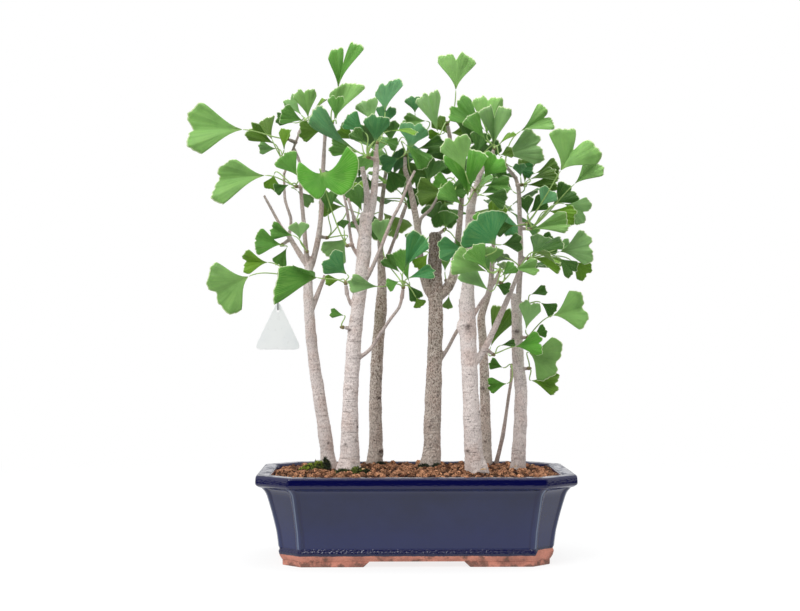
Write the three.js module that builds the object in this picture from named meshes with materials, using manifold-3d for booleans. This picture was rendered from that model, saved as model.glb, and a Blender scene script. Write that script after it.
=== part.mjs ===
// Ginkgo bonsai: a group of eight ginkgo stems in an eight-sided blue glazed pot.
// Millimetres, +Z up, front towards -Y. The origin is the middle of the whole part's plan,
// crown and pot, on the surface that the pot's feet stand on.

import * as THREE from "three";
import { mergeVertices } from "three/addons/utils/BufferGeometryUtils.js";
import Module from "manifold-3d";

const wasm = await Module();
wasm.setup();

// ---------------------------------------------------------------- driving dimensions

const POT_PLACE = { x: 17, y: -6 }; // of the pot's middle: the crown reaches further left and back
const GAP = 0.35; // running clearance between neighbouring pieces
const DEG = Math.PI / 180;

const POT = {
  halfWidth: 155,
  halfDepth: 99,
  cornerCut: 33,
  height: 87,
  rimWidth: 13.5,
  floorTop: 14,
  floorUnderside: 5.5,
  beadHeight: 1.5,
  beadHalfWidth: 2.6,
};
const FOOT = { inset: 25.8, width: 13, frontGap: 45, sideGap: 24, slope: 6 };
const DRAIN = { x: 64, radius: 9, sides: 10 };
const MESH_PLATE = { size: 28, thickness: 1.2, hole: 9, pitch: 12 };
// The soil is heaped from its edge to its middle. Its lumps are `granule` high, with `grain`
// radians of their wave to a millimetre. It falls by the share `fall` to the front and back.
const SOIL = {
  edge: 83.2, middle: 88.6, fall: 0.4, granule: 1.1, grain: 0.9,
  columns: 14, rows: 8, stubDepth: 26, holeSides: 8,
};
const LEAF = { thickness: 0.8, petiole: 0.8, shortStalk: 18, longStalk: 46, large: 38, small: 23 };
// Shape of a blade, as shares of its length: how its sides curve in, its corners round off,
// its margin and surface wave, and its end droops.
const BLADE = {
  waist: 0.65, round: 0.05, cornerFrom: 0.7, cornerDrop: 0.09, cleftWidth: 0.13,
  marginWave: 0.03, marginWaves: 7, wave: 0.07, waves: 4.5, droop: 0.16,
};
const SPUR = { rootRadius: 2.3, tipRadius: 2, sides: 3 };
// A bud's stalks start between these shares of its length, `rootOffset` from its middle line.
const BUD = {
  radius: 2.2, tipRadius: 1.4, length: 5, sides: 4, rootOffset: 0.5, stalksFrom: 0.35, stalksTo: 0.85,
};
const STALK_BEND = 0.35; // share of a stalk's length that it takes to leave its bud or meet its blade
const TAG = {
  x: -137, bottom: 207, apex: 253, halfWidth: 24, corner: 4, thickness: 1,
  hole: 1.6, holeDrop: 7, searchStep: 0.005,
};
const TIE = { radius: 0.5, sides: 4, halfDepth: 2.4 };
// Leaves are kept apart by these distances between points `spacing` apart on them, and tried
// `tries` times at most, `step` nearer or further each time.
const CLEAR = {
  blade: 5.4, stalk: 3.6, stalks: 2.2, wood: 3.6, stalkWood: 1.5,
  spacing: 5.5, alongStalk: [0.3, 0.45, 0.6, 0.75, 0.88, 1], step: 5, tries: 40,
};

// All below is drawn from the middle of the pot's underside.
// The elevation is drawn on the plane y = ELEVATION_Y, as an eye at EYE sees the group.
// A point at another depth y lies on the sight line through its place in the elevation.
const EYE = { x: -42, y: -1540, z: 223.5 };
const ELEVATION_Y = -7;

// Limbs of each stem, as [x, z, y, radius] points: x and z in the elevation, y the depth.
// The first limb is the trunk. Its first point is at the soil.
const STEMS = {
  a: {
    colour: 0xc9bdb6,
    limbs: [
      [[-86, 89, 12, 8], [-89, 117, 12, 6.8], [-95, 157, 12, 6.4], [-102.5, 207, 12, 5.6],
        [-106, 247, 12, 5.2], [-107, 270, 12, 4.8], [-106, 292, 12, 4.2]],
      [[-106, 288, 12, 3], [-115, 302, 12, 2.8], [-127, 322, 14, 2.3]],
      [[-126, 320, 14, 1.7], [-124, 337, 13, 1.5], [-130, 357, 12, 1.4], [-131, 384, 12, 1.2]],
      [[-126, 320, 14, 1.7], [-135, 332, 17, 1.5], [-145, 350, 20, 1.4], [-151, 361, 22, 1.1]],
      [[-106, 290, 12, 2.6], [-109, 307, 10, 2.4], [-112, 342, 10, 2], [-114, 364, 10, 1.8],
        [-115, 392, 8, 1.5], [-121, 408, 6, 1.3]],
      [[-106, 286, 12, 3.4], [-102, 296, 12, 3.2], [-97, 317, 12, 2.8], [-94, 342, 12, 2.5],
        [-92, 387, 12, 2.2], [-90, 422, 11, 1.7]],
      [[-104, 244, 12, 2.6], [-96, 266, 18, 2.4], [-90, 281, 22, 1.8]],
      [[-131, 382, 12, 1.2], [-124, 402, 6, 1.2], [-116, 423, 1, 1.2]],
    ],
  },
  b: {
    colour: 0xcfc3bd,
    limbs: [
      [[-66, 86, -23, 11.6], [-65, 107, -23, 9.2], [-64.5, 157, -23, 7.7], [-61.5, 207, -23, 7.2],
        [-58.5, 237, -23, 6.6], [-55, 267, -23, 6.6], [-51, 307, -23, 7], [-49, 340, -23, 6]],
      [[-50, 325, -23, 4.2], [-43, 350, -21, 3.9], [-39, 387, -18, 3.2], [-39, 404, -16, 2.4]],
      [[-50, 328, -23, 3.6], [-48, 362, -26, 3], [-53, 390, -28, 2.2]],
      [[-54, 296, -23, 1.8], [-63, 312, -23, 1.6], [-68, 347, -20, 1.4], [-72, 364, -18, 1.2]],
      [[-53, 318, -23, 1.7], [-59, 332, -22, 1.5], [-67, 358, -6, 1.2]],
      [[-58, 197, -23, 2], [-45, 207, -25, 1.8], [-35, 222, -26, 1.7], [-25, 237, -27, 1.6],
        [-16, 249, -27, 1.5], [-13, 259, -26, 1.5]],
      [[-52, 274, -23, 2.2], [-46, 282, -26, 2], [-35, 307, -30, 1.8], [-23, 337, -30, 1.6],
        [-15, 352, -28, 1.5], [-7, 372, -26, 1.4], [0, 386, -24, 1.2]],
      [[-58, 250, -23, 1.8], [-64, 252, -24, 1.6], [-68, 263, -25, 1.5]],
    ],
  },
  c: {
    colour: 0xa89c8e,
    limbs: [
      [[-40, 93.5, 58, 8.2], [-39, 117, 58, 7], [-39.5, 157, 58, 6.5], [-37.5, 207, 58, 6.2],
        [-34, 247, 58, 6], [-33, 270, 58, 4.8], [-34, 300, 58, 3.6]],
      [[-34, 296, 58, 3.2], [-35, 332, 60, 2.6], [-31, 372, 62, 2], [-29, 385, 62, 1.8]],
      [[-33, 286, 58, 2], [-28, 298, 58, 1.8], [-19, 322, 58, 1.6], [-13, 340, 58, 1.5]],
    ],
  },
  d: {
    colour: 0x988b7c,
    limbs: [
      [[16, 91.5, 35, 10], [17, 112, 35, 9], [18, 157, 35, 8.4], [20, 207, 35, 7.6],
        [21, 237, 35, 7.4], [20, 280, 35, 7.2], [20, 320, 35, 6.6]],
      [[19, 258, 35, 4.2], [12, 268, 33, 4], [6, 290, 30, 3.6], [3, 325, 29, 3.4],
        [-3, 360, 28, 3], [-10, 388, 27, 2.4]],
      [[22, 258, 35, 5], [32, 268, 38, 5.2], [38, 280, 40, 4.6], [41, 300, 41, 3.8], [44, 325, 42, 3.2],
        [47, 367, 42, 2.4], [41, 395, 36, 1.8], [35, 420, 32, 1.6]],
      [[22, 192, 35, 2.2], [32, 207, 36, 1.9], [40, 222, 37, 1.8], [45, 230, 38, 1.6]],
      [[3, 322, 29, 1.8], [6, 338, 32, 1.6], [16, 348, 35, 1.5], [25, 364, 38, 1.4]],
    ],
  },
  e: {
    colour: 0xcbbfb9,
    limbs: [
      [[62, 84.5, -32, 10.8], [58.5, 107, -32, 9], [56, 157, -32, 8], [54, 197, -32, 7.8],
        [53, 227, -32, 8.2], [52, 250, -32, 7.6], [53, 274, -32, 5.8], [54, 307, -32, 5.2],
        [56, 347, -32, 4.4], [60, 368, -32, 3.6]],
      [[52, 240, -32, 5], [48, 230, -32, 6], [52, 218, -32, 5]],
      [[59, 362, -32, 3], [66, 384, -31, 2.4], [76, 399, -30, 1.8]],
      [[54, 186, -32, 3.8], [66, 202, -29, 3.4], [75, 218, -27, 3.1], [85, 240, -26, 2.8],
        [93, 258, -25, 2.5], [102, 279, -24, 2.1]],
      [[54, 232, -32, 2], [65, 252, -36, 1.7], [72, 262, -39, 1.6], [81, 276, -42, 1.5]],
    ],
  },
  f: {
    colour: 0xaa9f93,
    limbs: [
      [[71, 94, 55, 6.4], [70.5, 137, 55, 5.4], [69.5, 177, 55, 4.8], [68, 217, 55, 4.4],
        [66.5, 240, 55, 4], [75, 268, 56, 3], [78, 300, 58, 2.2], [79, 326, 60, 1.8]],
    ],
  },
  g: {
    colour: 0xa59a92,
    limbs: [
      [[81, 93, 66, 2.4], [85, 109, 66, 2.2], [88, 122, 65, 2.3], [91, 142, 64, 1.8],
        [94, 162, 63, 1.7], [97, 181, 62, 1.5]],
    ],
  },
  h: {
    colour: 0xc2b4ab,
    limbs: [
      [[103, 89, 15, 7.6], [104, 107, 15, 7], [105.5, 137, 15, 6.5], [106, 167, 15, 6.3],
        [103, 197, 15, 6], [102, 237, 15, 5.4], [101, 260, 15, 5]],
      [[103, 248, 15, 2.9], [106, 302, 15, 2.6], [105, 342, 15, 2.3], [104, 367, 14, 2.1],
        [101, 379, 12, 1.8]],
    ],
  },
};

// Each spray is a bud on a short spur with its leaves. tip is [x, z, y] of the spur's end.
// A leaf is [x, z, y, heading, length, spread, roll, lean, notch, fold, skew]:
// x, z, y    where the blade meets its stalk
// heading    direction of the blade's middle in the elevation, degrees from +X
// length     from the stalk to the margin, mm
// spread     half the fan's opening, degrees
// roll       turn about the blade's middle, degrees
// lean       tilt of the blade's middle towards the front, degrees
// notch      depth of the cleft as a share of the length
// fold       rise of both halves along the middle line
// skew       what the right half is longer than the left, as a share; none if it isn't given
// A spray with a number instead has that many leaves set round its spur by rule.
// The tag hangs from the first leaf's stalk of the spray that holds it.
const SPRAYS = [
  { stem: "b", tip: [-67, 311, -32], leaves: [
    [-93.5, 384, -50, 289, 32, 116, 17, 20, 0.48, 0.68, -0.16],
    [-71, 327, -30, 100, 10, 45, 0, 0, 0, 0.1],
  ] },
  { stem: "e", tip: [60, 366, -43], leaves: [
    [53, 360, -62, 95, 47, 31, 0, 8, 0.55, 0.4],
    [50, 386, -84, 110, 34, 33, 0, 8, 0.1, 0.1],
    [69, 379, -62, 55, 26, 40, 0, 5, 0.1, 0.1],
    [70, 371, -46, 5, 25, 28, 15, 0, 0.05, 0.1],
    [70, 361, -54, 350, 22, 32, 0, 0, 0.05, 0.1],
    [47, 352, -54, 140, 27, 27, 0, 0, 0.05, 0.1],
    [67, 363, -30, 26, 24, 26, 0, 0, 0.05, 0.1],
  ] },
  { stem: "e", tip: [60, 296, -47], leaves: [
    [81, 311, -68, 127, 35, 58, 0, 10, 0.15, 0.15],
    [50, 308, -60, 182, 26, 34, 0, 5, 0.05, 0.1],
  ] },
  { stem: "e", tip: [84, 283, -43], leaves: [
    [72, 285, -74, 160, 36, 26, 0, 5, 0.1, 0.1],
    [72, 288, -62, 125, 26, 32, 0, 0, 0.1, 0.1],
    [77, 291, -54, 85, 19, 38, 0, 0, 0.1, 0.1],
    [74, 266, -60, 141, 33, 22, 10, 5, 0.05, 0.15],
    [98, 287, -48, 8, 25, 25, 10, 5, 0.1, 0.15],
    [87, 281, -64, 40, 17, 30, 10, 0, 0.05, 0.1],
    [81, 272, -34, 340, 15, 32, 0, 0, 0.05, 0.1],
  ] },
  { stem: "e", tip: [79, 407, -30], leaves: [
    [79, 411, -48, 89, 40, 27, 0, 12, 0.35, 0.35],
    [72, 422, -20, 88, 40, 27, 0, 0, 0.1, 0.15],
    [70, 427, -6, 139, 42, 25, 10, -5, 0.1, 0.1],
    [71, 417, -36, 125, 30, 22, 10, 0, 0.05, 0.1],
    [85, 413, -24, 45, 19, 27, 62, 0, 0, 0.1],
    [86, 402, -38, 20, 13, 36, 10, 0, 0, 0.1],
    [62, 402, 0, 78, 25, 30, 0, 0, 0.05, 0.1],
  ] },
  { stem: "b", tip: [-69, 271, -26], leaves: [
    [-98, 279, -40, 164, 37, 41, 42, 38, 0.2, 0.57, -0.45],
    [-68, 282, -12, 140, 27, 40, 10, 0, 0.1, 0.1],
    [-75, 277, -14, 186, 15, 30, 20, 0, 0, 0.1],
  ] },
  { stem: "b", tip: [-12, 267, -27], leaves: [
    [-37, 270, -48, 172, 29, 24, 35, 15, 0.05, 0.2],
    [-11, 286, -38, 60, 40, 23, 30, 10, 0.05, 0.3],
    [-15, 284, -22, 135, 22, 24, 10, 0, 0.1, 0.1],
    [-7, 278, -30, 17, 27, 22, 40, 10, 0.05, 0.2],
    [-16, 275, -38, 200, 13, 36, 0, 10, 0, 0.1],
    [-8, 273, -14, 305, 20, 26, 0, 0, 0.05, 0.1],
    [1, 259, -24, 300, 11, 45, 0, 0, 0.1, 0.1],
    [-32, 307, -4, 95, 31, 25, 0, 0, 0.05, 0.1],
    [-6, 275, 2, 108, 34, 22, 0, 0, 0.05, 0.1],
  ] },
  { stem: "b", tip: [-45, 399, -24], leaves: [
    [-40, 413, -42, 85, 28, 34, 0, 15, 0.05, 0.1],
    [-66, 410, -30, 139, 50, 28, 56, 10, 0.05, 0.15],
    [-50, 424, -18, 140, 25, 30, 10, 0, 0.05, 0.1],
    [-58, 417, -4, 150, 22, 30, 35, 0, 0.05, 0.1],
    [-49, 413, -32, 135, 19, 28, 0, 0, 0.05, 0.1],
    [-24, 426, -32, 3, 26, 25, 68, 0, 0.05, 0.1],
    [-31, 417, -14, 340, 15, 35, 20, 0, 0.05, 0.1],
    [-28, 389, 12, 300, 25, 34, 0, 0, 0.05, 0.1],
    [-54, 404, -2, 165, 32, 22, 0, 0, 0.05, 0.1],
  ] },
  { stem: "b", tip: [-38, 412, -12], leaves: [
    [-30, 445, -12, 89, 31, 33, 8, 0, 0.1, 0.1, 0.26],
    [-32, 428, -2, 80, 25, 30, 0, -5, 0.2, 0.1],
    [-41, 433, 6, 110, 28, 30, 0, -8, 0.05, 0.1],
    [-24, 414, -4, 95, 23, 32, 0, 0, 0.05, 0.1],
  ] },
  { stem: "b", tip: [-61, 336, -12], leaves: [
    [-53, 345, -2, 112, 28, 26, 0, 0, 0.1, 0.1],
    [-56, 351, 8, 95, 25, 24, 10, 0, 0.05, 0.1],
  ] },
  { stem: "b", tip: [-70, 229, -24], leaves: [
    [-71, 241, -28, 168, 14, 26, 10, 0, 0.05, 0.1],
  ] },
  { stem: "a", tip: [-126, 417, 4], leaves: [
    [-172, 427, -6, 178, 57, 32, 0, 0, 0.08, 0.1],
  ] },
  { stem: "a", tip: [-118, 370, 2], leaves: [
    [-150, 381, -12, 183, 50, 32, 0, 0, 0.05, 0.15, -0.22],
    [-141, 382, 12, 258, 16, 40, 10, 0, 0.05, 0.1],
    [-117, 380, -10, 125, 27, 32, 0, 10, 0.1, 0.1],
    [-126, 372, -8, 203, 16, 28, 20, 0, 0.05, 0.1],
    [-118, 366, 18, 318, 20, 24, 0, 0, 0.05, 0.1],
  ] },
  { stem: "a", tip: [-116, 281, 4], holdsTag: true, leaves: [
    [-166, 280, -4, 207, 42, 51, 0, 0, 0.1, 0.1],
    [-147, 294, 12, 178, 27, 33, 10, -10, 0.1, 0.2],
  ] },
  { stem: "a", tip: [-84, 432, 10], leaves: [
    [-77, 469, 6, 80, 45, 27, 18, 8, 0.42, 0.3, 0.2],
    [-81, 437, -6, 73, 38, 28, -15, 5, 0.05, 0.1, 0.3],
    [-93, 427, -4, 188, 23, 35, 25, 10, 0.05, 0.1],
    [-79, 437, -20, 90, 24, 25, 0, 5, 0.1, 0.1],
  ] },
  { stem: "a", tip: [-112, 432, -4], leaves: [
    [-112, 436, -18, 162, 24, 30, 10, 15, 0.05, 0.15],
    [-107, 439, -22, 98, 29, 30, -10, 10, 0.1, 0.2],
    [-114, 442, 10, 128, 25, 26, 20, -15, 0.1, 0.1],
    [-122, 434, 14, 165, 20, 28, 35, -15, 0.05, 0.1],
    [-102, 444, -2, 56, 19, 34, 70, 0, 0, 0.1],
  ] },
  { stem: "a", tip: [-131, 394, 14], leaves: [
    [-143, 417, 22, 112, 27, 32, 20, -20, 0.05, 0.2],
    [-141, 413, 8, 150, 30, 27, 30, 10, 0.1, 0.2],
    [-139, 408, 28, 178, 18, 28, 30, 0, 0, 0.1],
    [-131, 407, 2, 80, 21, 32, 45, 10, 0, 0.3],
  ] },
  { stem: "a", tip: [-131, 313, 17], leaves: [
    [-133, 312, 2, 173, 28, 33, 10, 10, 0.1, 0.2],
    [-128, 309, 28, 243, 21, 26, 0, 0, 0.1, 0.1],
  ] },
  { stem: "a", tip: [-108, 305, 2], leaves: [
    [-115, 317, -10, 95, 18, 42, 0, 10, 0.2, 0.15],
    [-122, 321, -2, 166, 24, 28, 25, 0, 0.1, 0.1],
  ] },
  { stem: "a", tip: [-90, 319, 18], leaves: [
    [-87, 343, 4, 90, 24, 28, 0, 0, 0.1, 0.15],
    [-68, 319, 24, 228, 30, 38, 0, -10, 0.05, 0.1],
    [-72, 350, 30, 184, 25, 26, 0, 0, 0.05, 0.1],
  ] },
  { stem: "h", tip: [111, 333, 6], leaves: [
    [146, 386, -14, 59, 44, 49, 0, 5, 0.42, 0.2],
    [117, 327, -18, 14, 38, 22, 25, 5, 0.05, 0.15],
    [125, 350, -2, 55, 22, 36, 0, 0, 0.05, 0.1],
    [100, 331, 0, 186, 21, 32, 0, 0, 0.05, 0.1],
  ] },
  { stem: "h", tip: [92, 390, 4], leaves: [
    [88, 401, -14, 18, 41, 32, 0, 5, 0.1, 0.15],
    [106, 426, 4, 30, 36, 28, 0, 0, 0.25, 0.2],
    [98, 390, 18, 350, 22, 26, 10, 0, 0.05, 0.1],
  ] },
  { stem: "h", tip: [112, 298, 16], leaves: [
    [145, 305, -4, 10, 34, 38, 0, 5, 0.1, 0.15],
    [143, 299, -14, 320, 23, 30, 10, 5, 0.1, 0.1],
    [118, 299, 4, 345, 31, 22, 25, 0, 0.1, 0.1],
    [157, 296, 8, 320, 23, 34, 0, 0, 0.1, 0.1],
    [118, 305, 30, 25, 27, 32, 0, 0, 0.05, 0.1],
    [141, 307, 22, 22, 17, 30, 0, 0, 0.05, 0.1],
  ] },
  { stem: "h", tip: [114, 328, 23], leaves: [
    [134, 346, 8, 350, 29, 26, 10, 0, 0.05, 0.1],
    [150, 353, 14, 338, 28, 40, 0, -5, 0.2, 0.1],
    [138, 352, 26, 40, 28, 36, 10, 0, 0.1, 0.1],
    [160, 373, 20, 42, 35, 26, 0, 0, 0.05, 0.1],
    [113, 342, 30, 100, 20, 32, 0, 0, 0.1, 0.1],
    [115, 344, 44, 40, 22, 30, 0, 0, 0.1, 0.1],
  ] },
  { stem: "h", tip: [106, 372, 8], leaves: [
    [106, 380, 2, 95, 14, 36, 0, 0, 0.1, 0.1],
    [110, 374, 20, 85, 26, 24, 10, 0, 0.05, 0.1],
    [116, 378, 28, 18, 28, 24, 35, 0, 0.05, 0.1],
    [98, 366, 24, 128, 27, 20, 20, 0, 0.05, 0.1],
    [112, 372, 42, 5, 33, 18, 0, 0, 0.05, 0.1],
    [121, 384, 56, 16, 26, 28, 0, 0, 0.05, 0.1],
  ] },
  { stem: "h", tip: [110, 253, 14], leaves: [
    [116, 262, 6, 20, 17, 24, 10, 0, 0, 0.1],
    [126, 254, 10, 328, 18, 30, 0, 0, 0.05, 0.1],
  ] },
  { stem: "h", tip: [111, 219, 10], leaves: [
    [138, 241, 4, 14, 36, 42, 0, 0, 0.1, 0.1],
    [111, 227, -2, 78, 29, 28, 0, 0, 0.1, 0.1],
    [119, 222, 16, 20, 14, 36, 0, 0, 0.05, 0.1],
  ] },
  { stem: "h", tip: [112, 188, 10], leaves: [
    [114, 204, 0, 340, 34, 54, 0, 0, 0.1, 0.2],
    [116, 176, 4, 352, 29, 29, 0, 0, 0.1, 0.15],
  ] },
  { stem: "d", tip: [-10, 400, 26], leaves: [
    [-5, 408, 6, 78, 27, 42, 0, 10, 0.1, 0.1],
    [-10, 413, -2, 317, 32, 22, 10, 10, 0.05, 0.1],
    [3, 408, 18, 15, 28, 24, 20, 0, 0.05, 0.1],
    [0, 444, 22, 92, 18, 42, 0, 0, 0.08, 0.15],
    [2, 430, 40, 150, 16, 40, 20, 0, 0.1, 0.1],
    [-3, 383, 32, 320, 21, 36, 0, 0, 0.1, 0.1],
    [-15, 399, 8, 202, 21, 34, 0, 0, 0.05, 0.1],
    [11, 436, 10, 178, 22, 26, 0, 0, 0.05, 0.1],
    [7, 400, 40, 24, 26, 32, 0, 0, 0.05, 0.1],
  ] },
  { stem: "d", tip: [33, 431, 30], leaves: [
    [41, 467, 26, 88, 40, 35, 0, 0, 0.2, 0.1],
    [23, 425, 14, 106, 42, 21, 15, 0, 0.05, 0.2],
    [40, 436, 18, 335, 28, 38, 10, 0, 0.1, 0.1],
    [27, 423, 38, 190, 14, 34, 30, 0, 0, 0.1],
    [36, 424, 46, 6, 27, 34, 0, 0, 0.1, 0.1],
    [33, 423, 52, 128, 21, 30, 0, 0, 0.05, 0.1],
  ] },
  { stem: "d", tip: [28, 371, 40], leaves: [
    [38, 371, 14, 160, 21, 30, 0, 0, 0.1, 0.1],
    [12, 374, 34, 70, 30, 34, 10, -10, 0.1, 0.1],
    [14, 366, 50, 200, 28, 34, 10, -10, 0.1, 0.1],
    [30, 356, 26, 268, 28, 36, 10, 0, 0.1, 0.1],
    [40, 380, 56, 60, 28, 34, 0, -20, 0.1, 0.1],
    [31, 366, 18, 8, 21, 34, 0, 0, 0.1, 0.1],
    [31, 364, 6, 177, 30, 33, 0, 0, 0.1, 0.1],
    [36, 354, 56, 172, 27, 26, 0, 0, 0.1, 0.1],
    [16, 386, 58, 18, 21, 30, 0, 0, 0.1, 0.1],
  ] },
  { stem: "d", tip: [0, 303, 22], leaves: [
    [-2, 308, 10, 95, 17, 28, 0, 0, 0, 0.1],
    [13, 303, 12, 232, 19, 32, 0, 0, 0.05, 0.1],
  ] },
  { stem: "d", tip: [28, 326, 28], leaves: [
    [30, 328, 14, 75, 19, 38, 0, 0, 0.1, 0.1],
    [40, 318, 22, 300, 22, 32, 10, 0, 0.1, 0.1],
    [22, 334, 44, 110, 24, 34, 10, -20, 0.1, 0.1],
  ] },
  { stem: "d", tip: [32, 276, 48], leaves: [
    [34, 261, 52, 262, 14, 28, 0, 0, 0.05, 0.1],
    [30, 285, 54, 88, 16, 24, 0, 0, 0.05, 0.1],
  ] },
  { stem: "e", tip: [66, 316, -38], leaves: [
    [69, 326, -46, 100, 19, 32, 0, 0, 0.1, 0.1],
    [76, 330, -24, 70, 26, 28, 0, 0, 0.1, 0.1],
    [87, 312, -28, 8, 21, 33, 0, 0, 0.1, 0.1],
  ] },
  { stem: "e", tip: [77, 203, -20], leaves: [
    [100, 210, -12, 8, 28, 31, 0, 5, 0.1, 0.15],
    [76, 210, 6, 68, 44, 23, 10, 0, 0.1, 0.1],
    [86, 211, -4, 12, 15, 24, 40, 0, 0, 0.1],
  ] },
  { stem: "g", tip: [97, 188, 62], leaves: [
    [92, 173, 56, 188, 20, 30, 10, 0, 0.1, 0.1],
    [88, 189, 62, 160, 15, 30, 10, 0, 0.05, 0.1],
  ] },
  { stem: "e", tip: [104, 287, -24], leaves: 3 },
  { stem: "c", tip: [-9, 351, 64], leaves: 4 },
  { stem: "c", tip: [-42, 336, 63], leaves: 3 },
  { stem: "c", tip: [-27, 394, 62], leaves: 6 },
  { stem: "c", tip: [-42, 372, 72], leaves: 4 },
  { stem: "d", tip: [60, 366, 50], leaves: 4 },
  { stem: "f", tip: [84, 274, 60], leaves: 4 },
  { stem: "f", tip: [80, 334, 62], leaves: 6 },
];
const WHORL = {
  turn: 137.5, // from one leaf to the next, degrees
  stray: 30, // furthest that a leaf is turned from its place, degrees
  stalkRise: [10, 55], // least and greatest, degrees above level
  bladeRise: [-55, 65],
  stalk: [18, 34], // least and greatest, mm
  length: [27, 40],
  spread: 42,
  notch: 0.1,
  fold: 0.12,
  roll: 25,
  seedTurn: 50, // from the first leaf of one spray to that of the next in the list
  flatten: 0.75, // depth of the whorl as a share of its width
};
const WAVE_PHASES = 6; // a leaf's margin starts its wave at a random phase below this, radians

// ---------------------------------------------------------------- numbers and points

const vec = (x, y, z) => new THREE.Vector3(x, y, z);
const lerp = (a, b, t) => a + (b - a) * t;

/** Repeatable random numbers from 0 to 1. */
function randomSource(seed) {
  let state = (seed * 7919 + 12345) >>> 0;
  return () => {
    state = (Math.imul(state, 1664525) + 1013904223) >>> 0;
    return state / 4294967296;
  };
}

/** The point at depth y that shows at (x, z) in the elevation. */
function fromElevation(x, z, y) {
  const scale = (y - EYE.y) / (ELEVATION_Y - EYE.y);
  return vec(EYE.x + (x - EYE.x) * scale, y, EYE.z + (z - EYE.z) * scale);
}

/** The point moved along its sight line until its depth has changed by dy. */
function shiftDepth(point, dy) {
  const scale = (point.y + dy - EYE.y) / (point.y - EYE.y);
  return vec(EYE.x + (point.x - EYE.x) * scale, point.y + dy, EYE.z + (point.z - EYE.z) * scale);
}

function nearestOnSegment(point, a, b) {
  const along = b.clone().sub(a);
  const t = THREE.MathUtils.clamp(point.clone().sub(a).dot(along) / along.lengthSq(), 0, 1);
  return { t, place: a.clone().addScaledVector(along, t) };
}

// ---------------------------------------------------------------- solids

/** A manifold solid from points and triangles. */
function solidOf(points, faces) {
  const vertProperties = new Float32Array(points.flatMap((p) => [p.x, p.y, p.z]));
  const triVerts = new Uint32Array(faces.flat());
  return new wasm.Manifold(new wasm.Mesh({ numProp: 3, vertProperties, triVerts }));
}

/** A manifold solid from one of three.js's closed geometries. */
function solidOfGeometry(geometry) {
  geometry.deleteAttribute("normal");
  geometry.deleteAttribute("uv");
  const merged = mergeVertices(geometry, 1e-4);
  const vertProperties = new Float32Array(merged.attributes.position.array);
  const triVerts = new Uint32Array(merged.index.array);
  return new wasm.Manifold(new wasm.Mesh({ numProp: 3, vertProperties, triVerts }));
}

/** A skin through rings of equal count, each counter-clockwise seen from ahead, ends closed. */
function loft(rings) {
  const count = rings[0].length;
  const points = rings.flat();
  const faces = [];
  for (let r = 0; r + 1 < rings.length; r++) {
    for (let i = 0; i < count; i++) {
      const a = r * count + i;
      const b = r * count + ((i + 1) % count);
      faces.push([a, b, b + count], [a, b + count, a + count]);
    }
  }
  const last = (rings.length - 1) * count;
  for (let i = 1; i + 1 < count; i++) faces.push([0, i + 1, i], [last, last + i, last + i + 1]);
  return solidOf(points, faces);
}

/** Rings round a path. The first `upright` rings lie level. */
function ringsAlong(path, radii, sides, upright = 0) {
  let side = vec(1, 0, 0);
  return path.map((point, i) => {
    const before = path[Math.max(i - 1, 0)];
    const after = path[Math.min(i + 1, path.length - 1)];
    const tangent = i < upright ? vec(0, 0, 1) : after.clone().sub(before).normalize();
    side = side.clone().addScaledVector(tangent, -side.dot(tangent)).normalize();
    const other = tangent.clone().cross(side);
    return Array.from({ length: sides }, (_, k) => {
      const angle = (2 * Math.PI * k) / sides;
      return point.clone()
        .addScaledVector(side, radii[i] * Math.cos(angle))
        .addScaledVector(other, radii[i] * Math.sin(angle));
    });
  });
}

/** All solids as one body: hollows sealed inside it are filled and loose scraps dropped. */
function unite(solids) {
  const bodies = solids.reduce((sum, solid) => sum.add(solid)).decompose();
  return bodies.reduce((largest, body) => (body.volume() > largest.volume() ? body : largest));
}

const group = new THREE.Group();
group.position.set(POT_PLACE.x, POT_PLACE.y, 0);

/** Adds one solid to the group as a named mesh. */
function addPiece(name, solid, look) {
  const mesh = solid.getMesh();
  const geometry = new THREE.BufferGeometry();
  geometry.setAttribute("position", new THREE.BufferAttribute(Float32Array.from(mesh.vertProperties), 3));
  geometry.setIndex(Array.from(mesh.triVerts));
  geometry.computeVertexNormals();
  const piece = new THREE.Mesh(geometry, new THREE.MeshStandardMaterial(look));
  piece.name = name;
  group.add(piece);
}

// ---------------------------------------------------------------- pot

/** Corners of the pot's plan, moved in by `inset`, counter-clockwise from the right front. */
function planCorners(inset) {
  const a = POT.halfWidth - inset;
  const b = POT.halfDepth - inset;
  const cut = POT.cornerCut - inset * (2 - Math.SQRT2);
  return [
    [a, -b + cut], [a, b - cut], [a - cut, b], [-a + cut, b],
    [-a, b - cut], [-a, -b + cut], [-a + cut, -b], [a - cut, -b],
  ];
}

/** A level ring of the pot's plan. */
const plainRing = (inset, z) => planCorners(inset).map(([x, y]) => vec(x, y, z));

// Outside of the wall from the underside to the flat rim, and the hollow inside: [inset, z].
const OUTER_WALL = [
  [25.4, POT.floorUnderside], [23.2, 9], [22, 13.5], [23.4, 17.5], [21.4, 33], [17.4, 50],
  [12.6, 67], [10.4, 71.5], [7.4, 74.6], [1.4, 77.4], [0, 79.8], [1.4, POT.height],
];
const HOLLOW = [[30, POT.floorTop], [25.5, 40], [17.5, 72], [POT.rimWidth, POT.height]];
// The beads run up the corners of the body, from its foot ridge to under the lip.
const BEAD_WALL = [[24.5, 15.5], [23.4, 17.5], [21.4, 33], [17.4, 50], [12.6, 67], [10.4, 71.5], [7.6, 74.6]];

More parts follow.
